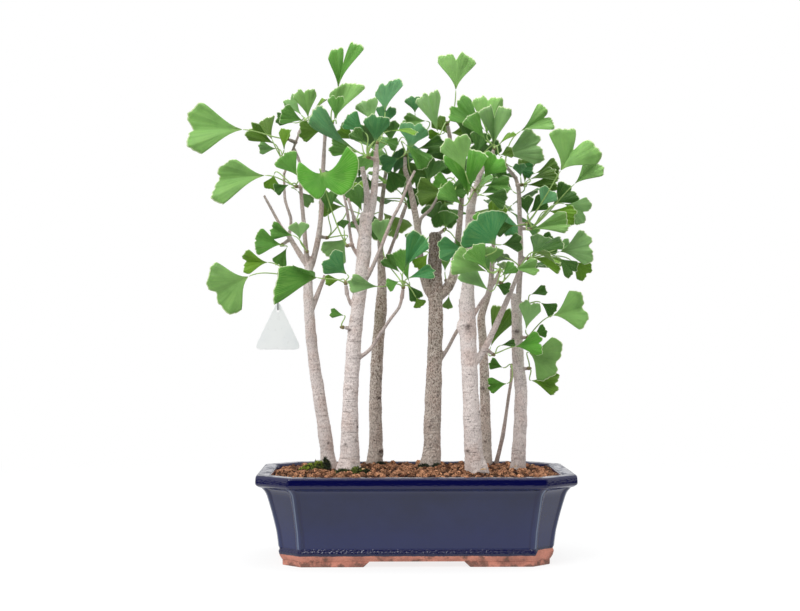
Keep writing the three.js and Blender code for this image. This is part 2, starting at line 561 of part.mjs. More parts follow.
/** The bead on corner i: a three-sided rib sunk into the wall. */
function cornerBead(i) {
  return loft(BEAD_WALL.map(([inset, z]) => {
    const corners = planCorners(inset);
    const [x, y] = corners[i];
    const [px, py] = corners[(i + 7) % 8];
    const [nx, ny] = corners[(i + 1) % 8];
    const back = vec(px - x, py - y, 0).setLength(POT.beadHalfWidth);
    const ahead = vec(nx - x, ny - y, 0).setLength(POT.beadHalfWidth);
    const inward = back.clone().add(ahead);
    const corner = vec(x, y, z);
    return [
      corner.clone().add(back).addScaledVector(inward, 0.3),
      corner.clone().addScaledVector(inward.setLength(1), -POT.beadHeight),
      corner.clone().add(ahead).addScaledVector(back.add(ahead), 0.3),
    ];
  }));
}

function flatShape(points) {
  return new THREE.Shape(points.map(([x, y]) => new THREE.Vector2(x, y)));
}

function buildFeet() {
  const outline = flatShape(planCorners(FOOT.inset));
  outline.holes.push(flatShape(planCorners(FOOT.inset + FOOT.width)));
  const height = POT.floorUnderside + 1;
  const ring = solidOfGeometry(new THREE.ExtrudeGeometry(outline, { depth: height, bevelEnabled: false }));
  const gapSolid = (half, length) => {
    const wedge = flatShape([
      [-half - FOOT.slope, -1], [half + FOOT.slope, -1],
      [half, POT.floorUnderside], [half, height + 1], [-half, height + 1], [-half, POT.floorUnderside],
    ]);
    const geometry = new THREE.ExtrudeGeometry(wedge, { depth: 2 * length, bevelEnabled: false });
    geometry.translate(0, 0, -length);
    geometry.rotateX(Math.PI / 2);
    return geometry;
  };
  const frontGap = solidOfGeometry(gapSolid(FOOT.frontGap, POT.halfDepth));
  const sideGap = solidOfGeometry(gapSolid(FOOT.sideGap, POT.halfWidth).rotateZ(Math.PI / 2));
  return ring.subtract(frontGap).subtract(sideGap);
}

function drainHole(x) {
  const hole = new THREE.CylinderGeometry(DRAIN.radius, DRAIN.radius, 2 * POT.floorTop, DRAIN.sides);
  hole.rotateX(Math.PI / 2);
  hole.translate(x, 0, POT.floorTop);
  return solidOfGeometry(hole);
}

function buildPot() {
  const body = loft(OUTER_WALL.map(([inset, z]) => plainRing(inset, z)));
  const hollow = HOLLOW.map(([inset, z]) => plainRing(inset, z));
  const above = plainRing(POT.rimWidth, POT.height + 5);
  const beads = planCorners(0).map((_, i) => cornerBead(i));
  return unite([body, ...beads, buildFeet()])
    .subtract(loft([...hollow, above]))
    .subtract(drainHole(-DRAIN.x))
    .subtract(drainHole(DRAIN.x));
}

/** A box of the given size round the point (x, y, z), as a solid. */
function boxSolid(width, depth, height, x, y, z) {
  const box = new THREE.BoxGeometry(width, depth, height);
  box.translate(x, y, z);
  return solidOfGeometry(box);
}

/** A square of plastic mesh that keeps the soil out of a drainage hole. */
function buildMeshPlate(x) {
  const { size, thickness, hole, pitch } = MESH_PLATE;
  const middle = POT.floorTop + GAP + thickness / 2;
  let plate = boxSolid(size, size, thickness, x, 0, middle);
  for (const column of [-0.5, 0.5]) {
    for (const row of [-0.5, 0.5]) {
      plate = plate.subtract(boxSolid(hole, hole, 3 * thickness, x + column * pitch, row * pitch, middle));
    }
  }
  return plate;
}

// ---------------------------------------------------------------- stems

/** All limb segments in space, for finding where spurs grow and what leaves must clear. */
const segments = [];

function placeLimb(points) {
  return points.map(([x, z, y, radius]) => ({ place: fromElevation(x, z, y), radius }));
}

/** Sides of a limb: three for the thinnest twig, and one more for each millimetre of radius. */
const sidesFor = (radius) => THREE.MathUtils.clamp(Math.round(1.8 + radius), 3, 8);

function limbSolid(limb) {
  const rings = ringsAlong(limb.map((p) => p.place), limb.map((p) => p.radius), sidesFor(limb[0].radius));
  return loft(rings);
}

/** The trunk with a straight foot that stands in the soil. */
function trunkSolid(limb) {
  const foot = limb[0];
  const stub = vec(foot.place.x, foot.place.y, foot.place.z - SOIL.stubDepth);
  const path = [stub, ...limb.map((p) => p.place)];
  const radii = [foot.radius, ...limb.map((p) => p.radius)];
  return loft(ringsAlong(path, radii, sidesFor(foot.radius), 2));
}

/** Where a spur leaves its stem: the nearest place on the stem's own limbs. */
function spurRoot(stem, tip) {
  let best = { distance: Infinity };
  for (const segment of segments.filter((s) => s.stem === stem)) {
    const { place } = nearestOnSegment(tip, segment.a, segment.b);
    const distance = place.distanceTo(tip);
    if (distance < best.distance) best = { distance, place };
  }
  return best.place;
}

const stemLimbs = {};
for (const [stem, { limbs }] of Object.entries(STEMS)) {
  stemLimbs[stem] = limbs.map(placeLimb);
  for (const limb of stemLimbs[stem]) {
    for (let i = 0; i + 1 < limb.length; i++) {
      const [from, to] = [limb[i], limb[i + 1]];
      segments.push({ stem, a: from.place, b: to.place, ra: from.radius, rb: to.radius });
    }
  }
}

const sprays = SPRAYS.map(({ stem, tip, leaves, holdsTag }, index) => {
  const end = fromElevation(...tip);
  const root = spurRoot(stem, end);
  const axis = end.clone().sub(root).normalize();
  return { stem, index, tip: end, root, axis, leaves, holdsTag };
});
for (const { stem, root, tip, axis } of sprays) {
  const budEnd = tip.clone().addScaledVector(axis, BUD.length);
  segments.push({ stem: `spur_${stem}`, a: root, b: budEnd, ra: SPUR.rootRadius, rb: BUD.radius });
}

function buildStem(stem) {
  const [trunk, ...limbs] = stemLimbs[stem];
  const spurs = sprays.filter((spray) => spray.stem === stem).map(({ root, tip }) =>
    loft(ringsAlong([root, tip], [SPUR.rootRadius, SPUR.tipRadius], SPUR.sides)));
  return unite([trunkSolid(trunk), ...limbs.map(limbSolid), ...spurs]);
}

// ---------------------------------------------------------------- soil

/** Height of the heaped soil, with granules as relief. */
function soilHeight(x, y) {
  const heap = (1 - (x / POT.halfWidth) ** 4) * (1 - SOIL.fall * (y / POT.halfDepth) ** 2);
  const granules = Math.sin(SOIL.grain * x + 2 * Math.sin(0.8 * SOIL.grain * y))
    * Math.sin(0.9 * SOIL.grain * y + 2 * Math.sin(0.7 * SOIL.grain * x));
  return lerp(SOIL.edge, SOIL.middle, heap) + SOIL.granule * granules;
}

function buildSoil() {
  const lowest = POT.floorTop + GAP;
  const fill = loft(HOLLOW.map(([inset, z]) => plainRing(inset + GAP, Math.max(z, lowest))));
  const block = new THREE.BoxGeometry(
    2 * POT.halfWidth, 2 * POT.halfDepth, 2, SOIL.columns, SOIL.rows, 1);
  const position = block.attributes.position;
  for (let i = 0; i < position.count; i++) {
    const top = soilHeight(position.getX(i), position.getY(i));
    position.setZ(i, position.getZ(i) > 0 ? top : -1);
  }
  let soil = fill.intersect(solidOfGeometry(block));
  for (const limbs of Object.values(stemLimbs)) {
    const { place, radius } = limbs[0][0];
    const low = vec(place.x, place.y, place.z - SOIL.stubDepth - GAP);
    const high = vec(place.x, place.y, POT.height + 20);
    const bore = (radius + GAP) / Math.cos(Math.PI / SOIL.holeSides);
    soil = soil.subtract(loft(ringsAlong([low, high], [bore, bore], SOIL.holeSides, 2)));
  }
  for (const side of [-1, 1]) {
    const size = MESH_PLATE.size + 2 * GAP;
    const top = MESH_PLATE.thickness + 3 * GAP;
    soil = soil.subtract(boxSolid(size, size, 2 * top, side * DRAIN.x, 0, POT.floorTop));
  }
  return soil;
}

// ---------------------------------------------------------------- leaves

/** Share of the full opening that a blade has at `v` of its length: its sides curve in. */
const opening = (v) => 1 - BLADE.waist * (1 - v) * (1 - v);

/** Margin of a blade as a share of its length, for u from -1 at one side to 1 at the other. */
function margin(leaf, u) {
  const cleft = leaf.notch * Math.exp(-((u / BLADE.cleftWidth) ** 2));
  const corner = Math.max(Math.abs(u) - BLADE.cornerFrom, 0) / (1 - BLADE.cornerFrom);
  const wave = BLADE.marginWave * Math.sin(BLADE.marginWaves * u + leaf.phase);
  const arc = 1 - BLADE.round * u * u - BLADE.cornerDrop * corner * corner;
  return (arc - cleft + wave) * (1 + leaf.skew * u);
}

/** A point of the blade's middle surface, u across and v along. */
function bladePoint(leaf, u, v) {
  const angle = u * leaf.spread * DEG * opening(v);
  const reach = v * leaf.length * margin(leaf, u);
  const wave = BLADE.wave * Math.sin(BLADE.waves * u + 2 * leaf.phase) * v;
  const rise = reach * (leaf.fold * Math.abs(u) + wave - BLADE.droop * v);
  return leaf.base.clone()
    .addScaledVector(leaf.axis, reach * Math.cos(angle))
    .addScaledVector(leaf.side, reach * Math.sin(angle))
    .addScaledVector(leaf.normal, rise);
}

/** Gives a leaf its side and normal, from its axis, the level side and its roll. */
function orient(leaf, levelSide, roll) {
  const up = levelSide.clone().cross(leaf.axis);
  const c = Math.cos(roll * DEG);
  const s = Math.sin(roll * DEG);
  leaf.side = levelSide.clone().multiplyScalar(c).addScaledVector(up, s);
  leaf.normal = up.multiplyScalar(c).addScaledVector(levelSide, -s);
  return leaf;
}

/** A leaf from its row in the list. */
function listedLeaf([x, z, y, heading, length, spread, roll, lean, notch, fold, skew = 0], phase) {
  const along = vec(Math.cos(heading * DEG), 0, Math.sin(heading * DEG));
  const across = vec(Math.sin(heading * DEG), 0, -Math.cos(heading * DEG));
  const axis = along.multiplyScalar(Math.cos(lean * DEG)).add(vec(0, -Math.sin(lean * DEG), 0));
  const leaf = { base: fromElevation(x, z, y), axis, length, spread, notch, fold, skew, phase };
  return orient(leaf, across, roll);
}

/** A leaf drawn at random near place number i of a whorl round its spur. */
function whorlLeaf(spray, i, random) {
  const stray = lerp(-WHORL.stray, WHORL.stray, random());
  const turn = (spray.index * WHORL.seedTurn + i * WHORL.turn + stray) * DEG;
  const rise = lerp(...WHORL.stalkRise, random()) * DEG;
  const tilt = lerp(...WHORL.bladeRise, random()) * DEG;
  const outward = vec(Math.cos(turn), WHORL.flatten * Math.sin(turn), 0);
  const stalk = outward.clone().multiplyScalar(Math.cos(rise)).add(vec(0, 0, Math.sin(rise)));
  const base = spray.tip.clone().addScaledVector(stalk, lerp(...WHORL.stalk, random()));
  outward.normalize();
  const axis = outward.clone().multiplyScalar(Math.cos(tilt)).add(vec(0, 0, Math.sin(tilt)));
  const length = lerp(...WHORL.length, random());
  const { spread, notch, fold } = WHORL;
  const leaf = { base, axis, length, spread, notch, fold, skew: 0, phase: WAVE_PHASES * random() };
  return orient(leaf, vec(outward.y, -outward.x, 0), lerp(-WHORL.roll, WHORL.roll, random()));
}

/** The stalk's curve from its own side of the bud to the blade. */
function stalkCurve(leaf, spray) {
  const outward = leaf.base.clone().sub(spray.tip);
  outward.addScaledVector(spray.axis, -outward.dot(spray.axis)).normalize();
  const start = spray.tip.clone()
    .addScaledVector(spray.axis, BUD.length * leaf.height)
    .addScaledVector(outward, BUD.rootOffset);
  const reach = start.distanceTo(leaf.base) * STALK_BEND;
  const leaving = spray.axis.clone().add(outward).normalize();
  return new THREE.CubicBezierCurve3(
    start,
    start.clone().addScaledVector(leaving, reach),
    leaf.base.clone().addScaledVector(leaf.axis, -reach),
    leaf.base);
}

/** Points spread over a blade and its stalk, which stand for it when leaves are kept apart. */
function samplesOf(leaf, spray) {
  const blade = [];
  const rows = Math.ceil(leaf.length / CLEAR.spacing);
  for (let r = 1; r <= rows; r++) {
    const v = r / rows;
    const halfWidth = v * leaf.length * leaf.spread * DEG;
    const columns = Math.ceil(halfWidth / CLEAR.spacing);
    for (let c = -columns; c <= columns; c++) blade.push(bladePoint(leaf, c / columns, v));
  }
  const curve = stalkCurve(leaf, spray);
  const stalk = CLEAR.alongStalk.map((t) => curve.getPoint(t));
  return { blade, stalk, spray };
}

/** The least spare room round a leaf, in mm: below zero, it comes too near something. */
function roomRound(samples, placed) {
  let room = Infinity;
  const keepFrom = (points, others, clearance) => {
    for (const p of points) {
      for (const q of others) room = Math.min(room, p.distanceTo(q) - clearance);
    }
  };
  const keepOffWood = (points, clearance) => {
    for (const p of points) {
      for (const { a, b, ra, rb } of segments) {
        const { t, place } = nearestOnSegment(p, a, b);
        room = Math.min(room, p.distanceTo(place) - lerp(ra, rb, t) - clearance);
      }
    }
  };
  for (const other of placed) {
    keepFrom(samples.blade, other.blade, CLEAR.blade);
    keepFrom(samples.blade, other.stalk, CLEAR.stalk);
    keepFrom(samples.stalk, other.blade, CLEAR.stalk);
    if (other.spray !== samples.spray) keepFrom(samples.stalk, other.stalk, CLEAR.stalks);
  }
  keepOffWood(samples.blade, CLEAR.wood);
  keepOffWood(samples.stalk, CLEAR.stalkWood);
  return room;
}

/** The first of a leaf's possible poses that is clear of all that is placed, or the clearest. */
function bendClear(pose, spray, placed) {
  let best = { room: -Infinity };
  for (let i = 0; i < CLEAR.tries && best.room < 0; i++) {
    const leaf = pose(i);
    const samples = samplesOf(leaf, spray);
    const room = roomRound(samples, placed);
    if (room > best.room) best = { room, leaf, samples };
  }
  placed.push(best.samples);
  return best.leaf;
}

/** Nearer and further along the sight line by turns: 0, -1, 1, -2, 2 steps and so on. */
function depthPose(leaf, i) {
  const shift = (i % 2 ? -1 : 1) * Math.ceil(i / 2) * CLEAR.step;
  return { ...leaf, base: shiftDepth(leaf.base, shift) };
}

/** Where the margin has its corners: more of them on a larger blade. */
function marginStations({ length }) {
  if (length < LEAF.small) return [-1, -0.6, 0, 0.6, 1];
  if (length < LEAF.large) return [-1, -0.72, -0.22, 0, 0.22, 0.72, 1];
  return [-1, -0.8, -0.45, -0.2, 0, 0.2, 0.45, 0.8, 1];
}

/** A blade and its stalk as one closed skin. */
function leafSolid(leaf, spray) {
  const curve = stalkCurve(leaf, spray);
  const stalkLength = leaf.base.distanceTo(spray.tip);
  const steps = 1 + (stalkLength > LEAF.shortStalk) + (stalkLength > LEAF.longStalk);
  const points = [];
  const faces = [];
  let side = leaf.side;
  const centres = Array.from({ length: steps + 1 }, (_, i) => curve.getPoint(i / steps));
  const rings = [];
  for (let i = steps; i >= 0; i--) {
    const chord = i < steps ? centres[i + 1].clone().sub(centres[Math.max(i - 1, 0)]) : leaf.axis.clone();
    const tangent = chord.normalize();
    side = side.clone().addScaledVector(tangent, -side.dot(tangent)).normalize();
    rings.unshift({ centre: centres[i], side, up: side.clone().cross(tangent) });
  }
  for (const { centre, side: across, up } of rings) {
    const half = LEAF.petiole;
    points.push(centre.clone().addScaledVector(across, -half).addScaledVector(up, half * 0.6));
    points.push(centre.clone().addScaledVector(across, half).addScaledVector(up, half * 0.6));
    points.push(centre.clone().addScaledVector(up, -half));
  }
  for (let r = 0; r < steps; r++) {
    for (let k = 0; k < 3; k++) {
      const a = 3 * r + k;
      const b = 3 * r + ((k + 1) % 3);
      faces.push([a, b, b + 3], [a, b + 3, a + 3]);
    }
  }
  faces.push([0, 2, 1]);
  const stations = marginStations(leaf);
  const left = 3 * steps;
  const right = left + 1;
  const keel = left + 2;
  const top = points.length;
  const half = leaf.normal.clone().multiplyScalar(LEAF.thickness / 2);
  for (const u of stations) {
    const edge = bladePoint(leaf, u, 1);
    points.push(edge.clone().add(half), edge.clone().sub(half));
  }
  const middle = (stations.length - 1) / 2;
  for (let i = 0; i + 1 < stations.length; i++) {
    const upper = top + 2 * i;
    const lower = upper + 1;
    faces.push([i < middle ? left : right, upper + 2, upper]);
    faces.push([keel, lower, lower + 2]);
    faces.push([upper, upper + 2, lower + 2], [upper, lower + 2, lower]);
  }
  faces.push([left, right, top + 2 * middle]);
  faces.push([left, top, top + 1], [left, top + 1, keel]);
  const last = top + 2 * (stations.length - 1);
  faces.push([right, last + 1, last], [right, keel, last + 1]);
  return solidOf(points, faces);
}

function budSolid({ tip, axis }) {
  const from = tip.clone().addScaledVector(axis, GAP);
  const to = from.clone().addScaledVector(axis, BUD.length);
  return loft(ringsAlong([from, to], [BUD.radius, BUD.tipRadius], BUD.sides));
}

function growLeaves() {
  const placed = [];
  for (const spray of sprays) {
    const random = randomSource(spray.index + 1);
    const listed = Array.isArray(spray.leaves);
    const count = listed ? spray.leaves.length : spray.leaves;
    const rows = spray.leaves;
    spray.leaves = [];
    for (let i = 0; i < count; i++) {
      const height = lerp(BUD.stalksFrom, BUD.stalksTo, (i + 0.5) / count);
      const leaf = listed ? listedLeaf(rows[i], WAVE_PHASES * random()) : null;
      const pose = (k) => ({ height, ...(listed ? depthPose(leaf, k) : whorlLeaf(spray, i, random)) });
      spray.leaves.push(bendClear(pose, spray, placed));
    }
  }
}

// ---------------------------------------------------------------- tag

/** The place on its stalk that the tag hangs from. */
function tagHanger() {
  const spray = sprays.find(({ holdsTag }) => holdsTag);
  const curve = stalkCurve(spray.leaves[0], spray);
  const x = fromElevation(TAG.x, TAG.apex, spray.leaves[0].base.y).x;
  let t = 0;
  while (t < 1 && curve.getPoint(t).x > x) t += TAG.searchStep;
  return curve.getPoint(t);
}

function roundedTriangle(halfWidth, height, radius) {
  const corners = [[-halfWidth, 0], [halfWidth, 0], [0, height]].map(([x, y]) => new THREE.Vector2(x, y));
  const shape = new THREE.Shape();
  corners.forEach((corner, i) => {
    const inward = corners[(i + 2) % 3].clone().sub(corner).setLength(radius);
    const outward = corners[(i + 1) % 3].clone().sub(corner).setLength(radius);
    const start = corner.clone().add(inward);
    if (i === 0) shape.moveTo(start.x, start.y);
    else shape.lineTo(start.x, start.y);
    shape.quadraticCurveTo(corner.x, corner.y, corner.x + outward.x, corner.y + outward.y);
  });
  return shape;
}

function buildTag(hanger) {
  const height = TAG.apex - TAG.bottom;
  const outline = roundedTriangle(TAG.halfWidth, height + TAG.corner, TAG.corner * 2);
  const hole = new THREE.Path();
  hole.absarc(0, height - TAG.holeDrop, TAG.hole, 0, 2 * Math.PI);
  outline.holes.push(hole);
  const tag = new THREE.ExtrudeGeometry(
    outline, { depth: TAG.thickness, bevelEnabled: false, curveSegments: 3 });
  tag.rotateX(Math.PI / 2);
  tag.translate(hanger.x, hanger.y + TAG.thickness / 2, TAG.bottom);
  return solidOfGeometry(tag);
}

/** A long closed loop of wire over the stalk and through the tag's hole. */
function buildTie(hanger) {
  const top = hanger.z + LEAF.petiole + GAP + TIE.radius;
  const bottom = TAG.apex - TAG.holeDrop + 0.5;
  const bend = TIE.halfDepth;
  const corners = [];
  for (const [centre, from] of [[top - bend, 0], [bottom + bend, Math.PI]]) {
    for (let i = 0; i <= 4; i++) {
      const angle = from + (Math.PI * i) / 4;
      corners.push(vec(hanger.x, hanger.y + bend * Math.cos(angle), centre + bend * Math.sin(angle)));
    }
  }
  const points = [];
  const faces = [];
  const count = corners.length;
  corners.forEach((corner, i) => {
    const before = corners[(i + count - 1) % count];
    const after = corners[(i + 1) % count];
    const tangent = after.clone().sub(before).normalize();
    const side = vec(1, 0, 0);
    const other = tangent.clone().cross(side);
    for (let k = 0; k < TIE.sides; k++) {
      const angle = (2 * Math.PI * k) / TIE.sides;
      points.push(corner.clone()
        .addScaledVector(side, TIE.radius * Math.cos(angle))
        .addScaledVector(other, TIE.radius * Math.sin(angle)));
      const a = i * TIE.sides + k;
      const b = i * TIE.sides + ((k + 1) % TIE.sides);
      const wrap = count * TIE.sides;
      faces.push([a, b, (b + TIE.sides) % wrap], [a, (b + TIE.sides) % wrap, (a + TIE.sides) % wrap]);
    }
  });
  return solidOf(points, faces);
}

// ---------------------------------------------------------------- the whole group

addPiece("pot", buildPot(), { color: 0x1d2b50, roughness: 0.18, metalness: 0 });
addPiece("drain_mesh_left", buildMeshPlate(-DRAIN.x), { color: 0x2c2c2c, roughness: 0.6, metalness: 0 });
addPiece("drain_mesh_right", buildMeshPlate(DRAIN.x), { color: 0x2c2c2c, roughness: 0.6, metalness: 0 });
addPiece("soil", buildSoil(), { color: 0x8a5a3c, roughness: 0.95, metalness: 0 });

growLeaves();
for (const [stem, { colour }] of Object.entries(STEMS)) {
  addPiece(`stem_${stem}`, buildStem(stem), { color: colour, roughness: 0.85, metalness: 0 });
}
const counts = {};
for (const spray of sprays) {
  counts[spray.stem] = (counts[spray.stem] ?? 0) + 1;
  const name = `spray_${spray.stem}${counts[spray.stem]}`;
  const solid = unite([budSolid(spray), ...spray.leaves.map((leaf) => leafSolid(leaf, spray))]);
  addPiece(name, solid, { color: 0x6fae4e, roughness: 0.5, metalness: 0 });
}

const hanger = tagHanger();
addPiece("tag", buildTag(hanger), { color: 0xf4f6f6, roughness: 0.35, metalness: 0 });
addPiece("tag_tie", buildTie(hanger), { color: 0x2b2f33, roughness: 0.5, metalness: 0 });

export default group;
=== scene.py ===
import math

import bmesh
import bpy
import numpy as np
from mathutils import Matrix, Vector, noise


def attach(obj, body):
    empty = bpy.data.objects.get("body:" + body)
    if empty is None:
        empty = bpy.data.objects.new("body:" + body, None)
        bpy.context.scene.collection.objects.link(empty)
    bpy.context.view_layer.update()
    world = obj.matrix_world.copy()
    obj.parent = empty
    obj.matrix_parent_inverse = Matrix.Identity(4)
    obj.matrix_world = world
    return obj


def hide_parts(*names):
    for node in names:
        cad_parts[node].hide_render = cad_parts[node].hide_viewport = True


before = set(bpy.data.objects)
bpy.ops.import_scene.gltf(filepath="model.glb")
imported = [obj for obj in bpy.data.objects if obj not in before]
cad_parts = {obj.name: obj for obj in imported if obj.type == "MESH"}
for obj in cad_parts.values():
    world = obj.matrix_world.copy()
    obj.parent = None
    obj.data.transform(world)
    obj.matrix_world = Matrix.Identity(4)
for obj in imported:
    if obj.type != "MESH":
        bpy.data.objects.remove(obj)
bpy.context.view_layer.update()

bl_info = {
    "name": "Ginkgo bonsai",
    "version": (1, 0, 0),
    "blender": (4, 5, 0),
    "location": "3D View > Sidebar > Bonsai",
    "description": "Dresses a group of eight ginkgo stems in their glazed pot",
    "category": "Object",
}

MM = 0.001
DEG = math.pi / 180
POT_PLACE = np.array((17.0, -6.0, 0.0))  # of the pot's middle in the frame; tables are in mm from it

# -------------------- pot and soil, mm

POT_HALF_WIDTH, POT_HALF_DEPTH, CORNER_CUT = 155.0, 99.0, 33.0
FLOOR_TOP, FLOOR_UNDERSIDE = 14.0, 5.5
# How far in from the plan's edge the wall lies at each height: (inset, height).
OUTER_WALL = (
    (25.4, 5.5), (23.2, 9), (22, 13.5), (23.4, 17.5), (21.4, 33), (17.4, 50), (12.6, 67),
    (10.4, 71.5), (7.4, 74.6), (3.2, 75.9), (0.5, 77.7), (0, 79.6), (0.4, 85.4), (1.1, 86.6), (2.4, 87),
)
INNER_WALL = ((12.4, 87), (13.6, 86.6), (14.2, 85.4), (17.5, 72), (25.5, 40), (30, 14))
FLOOR_RINGS = (0.7, 0.35, 0.02)  # of the pot's floor, as shares of its plan
FOOT_INSET, FOOT_WIDTH, FRONT_GAP, SIDE_GAP, FOOT_SLOPE = 25.8, 13.0, 45.0, 24.0, 6.0
FOOT_OVERLAP = 1.0  # of the feet with the pot's body
# Points on an edge of the plan: distances in from both of its corners, and shares of its length.
NEAR_CORNER = (0.8, 1.6, 2.3, 2.9, 3.5, 4.2, 5.0, 6.0, 8.5)
MID_EDGE = (0.35, 0.5, 0.65)
CORNER_TURN = 45 * DEG
# How much is taken off at a corner and beside it, and how far along the edge that goes.
SOFT_CORNER, SOFT_EDGE, SOFT_REACH = 0.5, 0.2, 2.5
# Beads on the corners. The pairs are heights between which they start, end and widen.
BEAD_RADIUS, BEAD_WIDENING, BEAD_FULL = 3.3, 2.4, 0.6
BEAD_START, BEAD_END, BEAD_WIDENS = (15.5, 18.5), (76.5, 73.5), (52.0, 74.0)
DRAIN_X, DRAIN_RADIUS, DRAIN_SIDES = 64.0, 9.0, 40
NET_SIZE, NET_THICKNESS, NET_CELLS = 28.0, 1.2, 8
SOIL_EDGE, SOIL_MIDDLE, SOIL_FALL = 83.2, 88.6, 0.4
SOIL_TURN, SOIL_INSET = (14.6, 80.0), 14.4  # where its side turns in to its top, and the top's edge
BED_UNDER = 0.45  # of the bed under the soil's height, in granules
SOIL_RINGS = (1, 0.97, 0.92, 0.85, 0.77, 0.68, 0.58, 0.48, 0.38, 0.28, 0.18, 0.1, 0.02)
STEM_DEPTH = 26.0  # of each stem's foot in the soil
PLAY = 0.35  # between neighbouring pieces

# Where the glaze changes, m: heights of the lip, of the ridge above the foot and of the rim.
LIP_LINE, RIDGE_LINE, RIM_LINE = (0.0755, 0.0775), (0.0180, 0.0165), (0.0864, 0.0868)
# A place by the right front foot that the glaze missed, m: over x, over y, and how far up.
MISSED_X, MISSED_Y, MISSED_RISE = (0.1125, 0.1165), (-0.040, -0.056), 0.0052
# How far the corners lie past the plan's diagonal, m: at the foot, and for the height squared.
CORNER_AT_FOOT, CORNER_FLARE = 0.019, 1.52

# -------------------- stems, mm

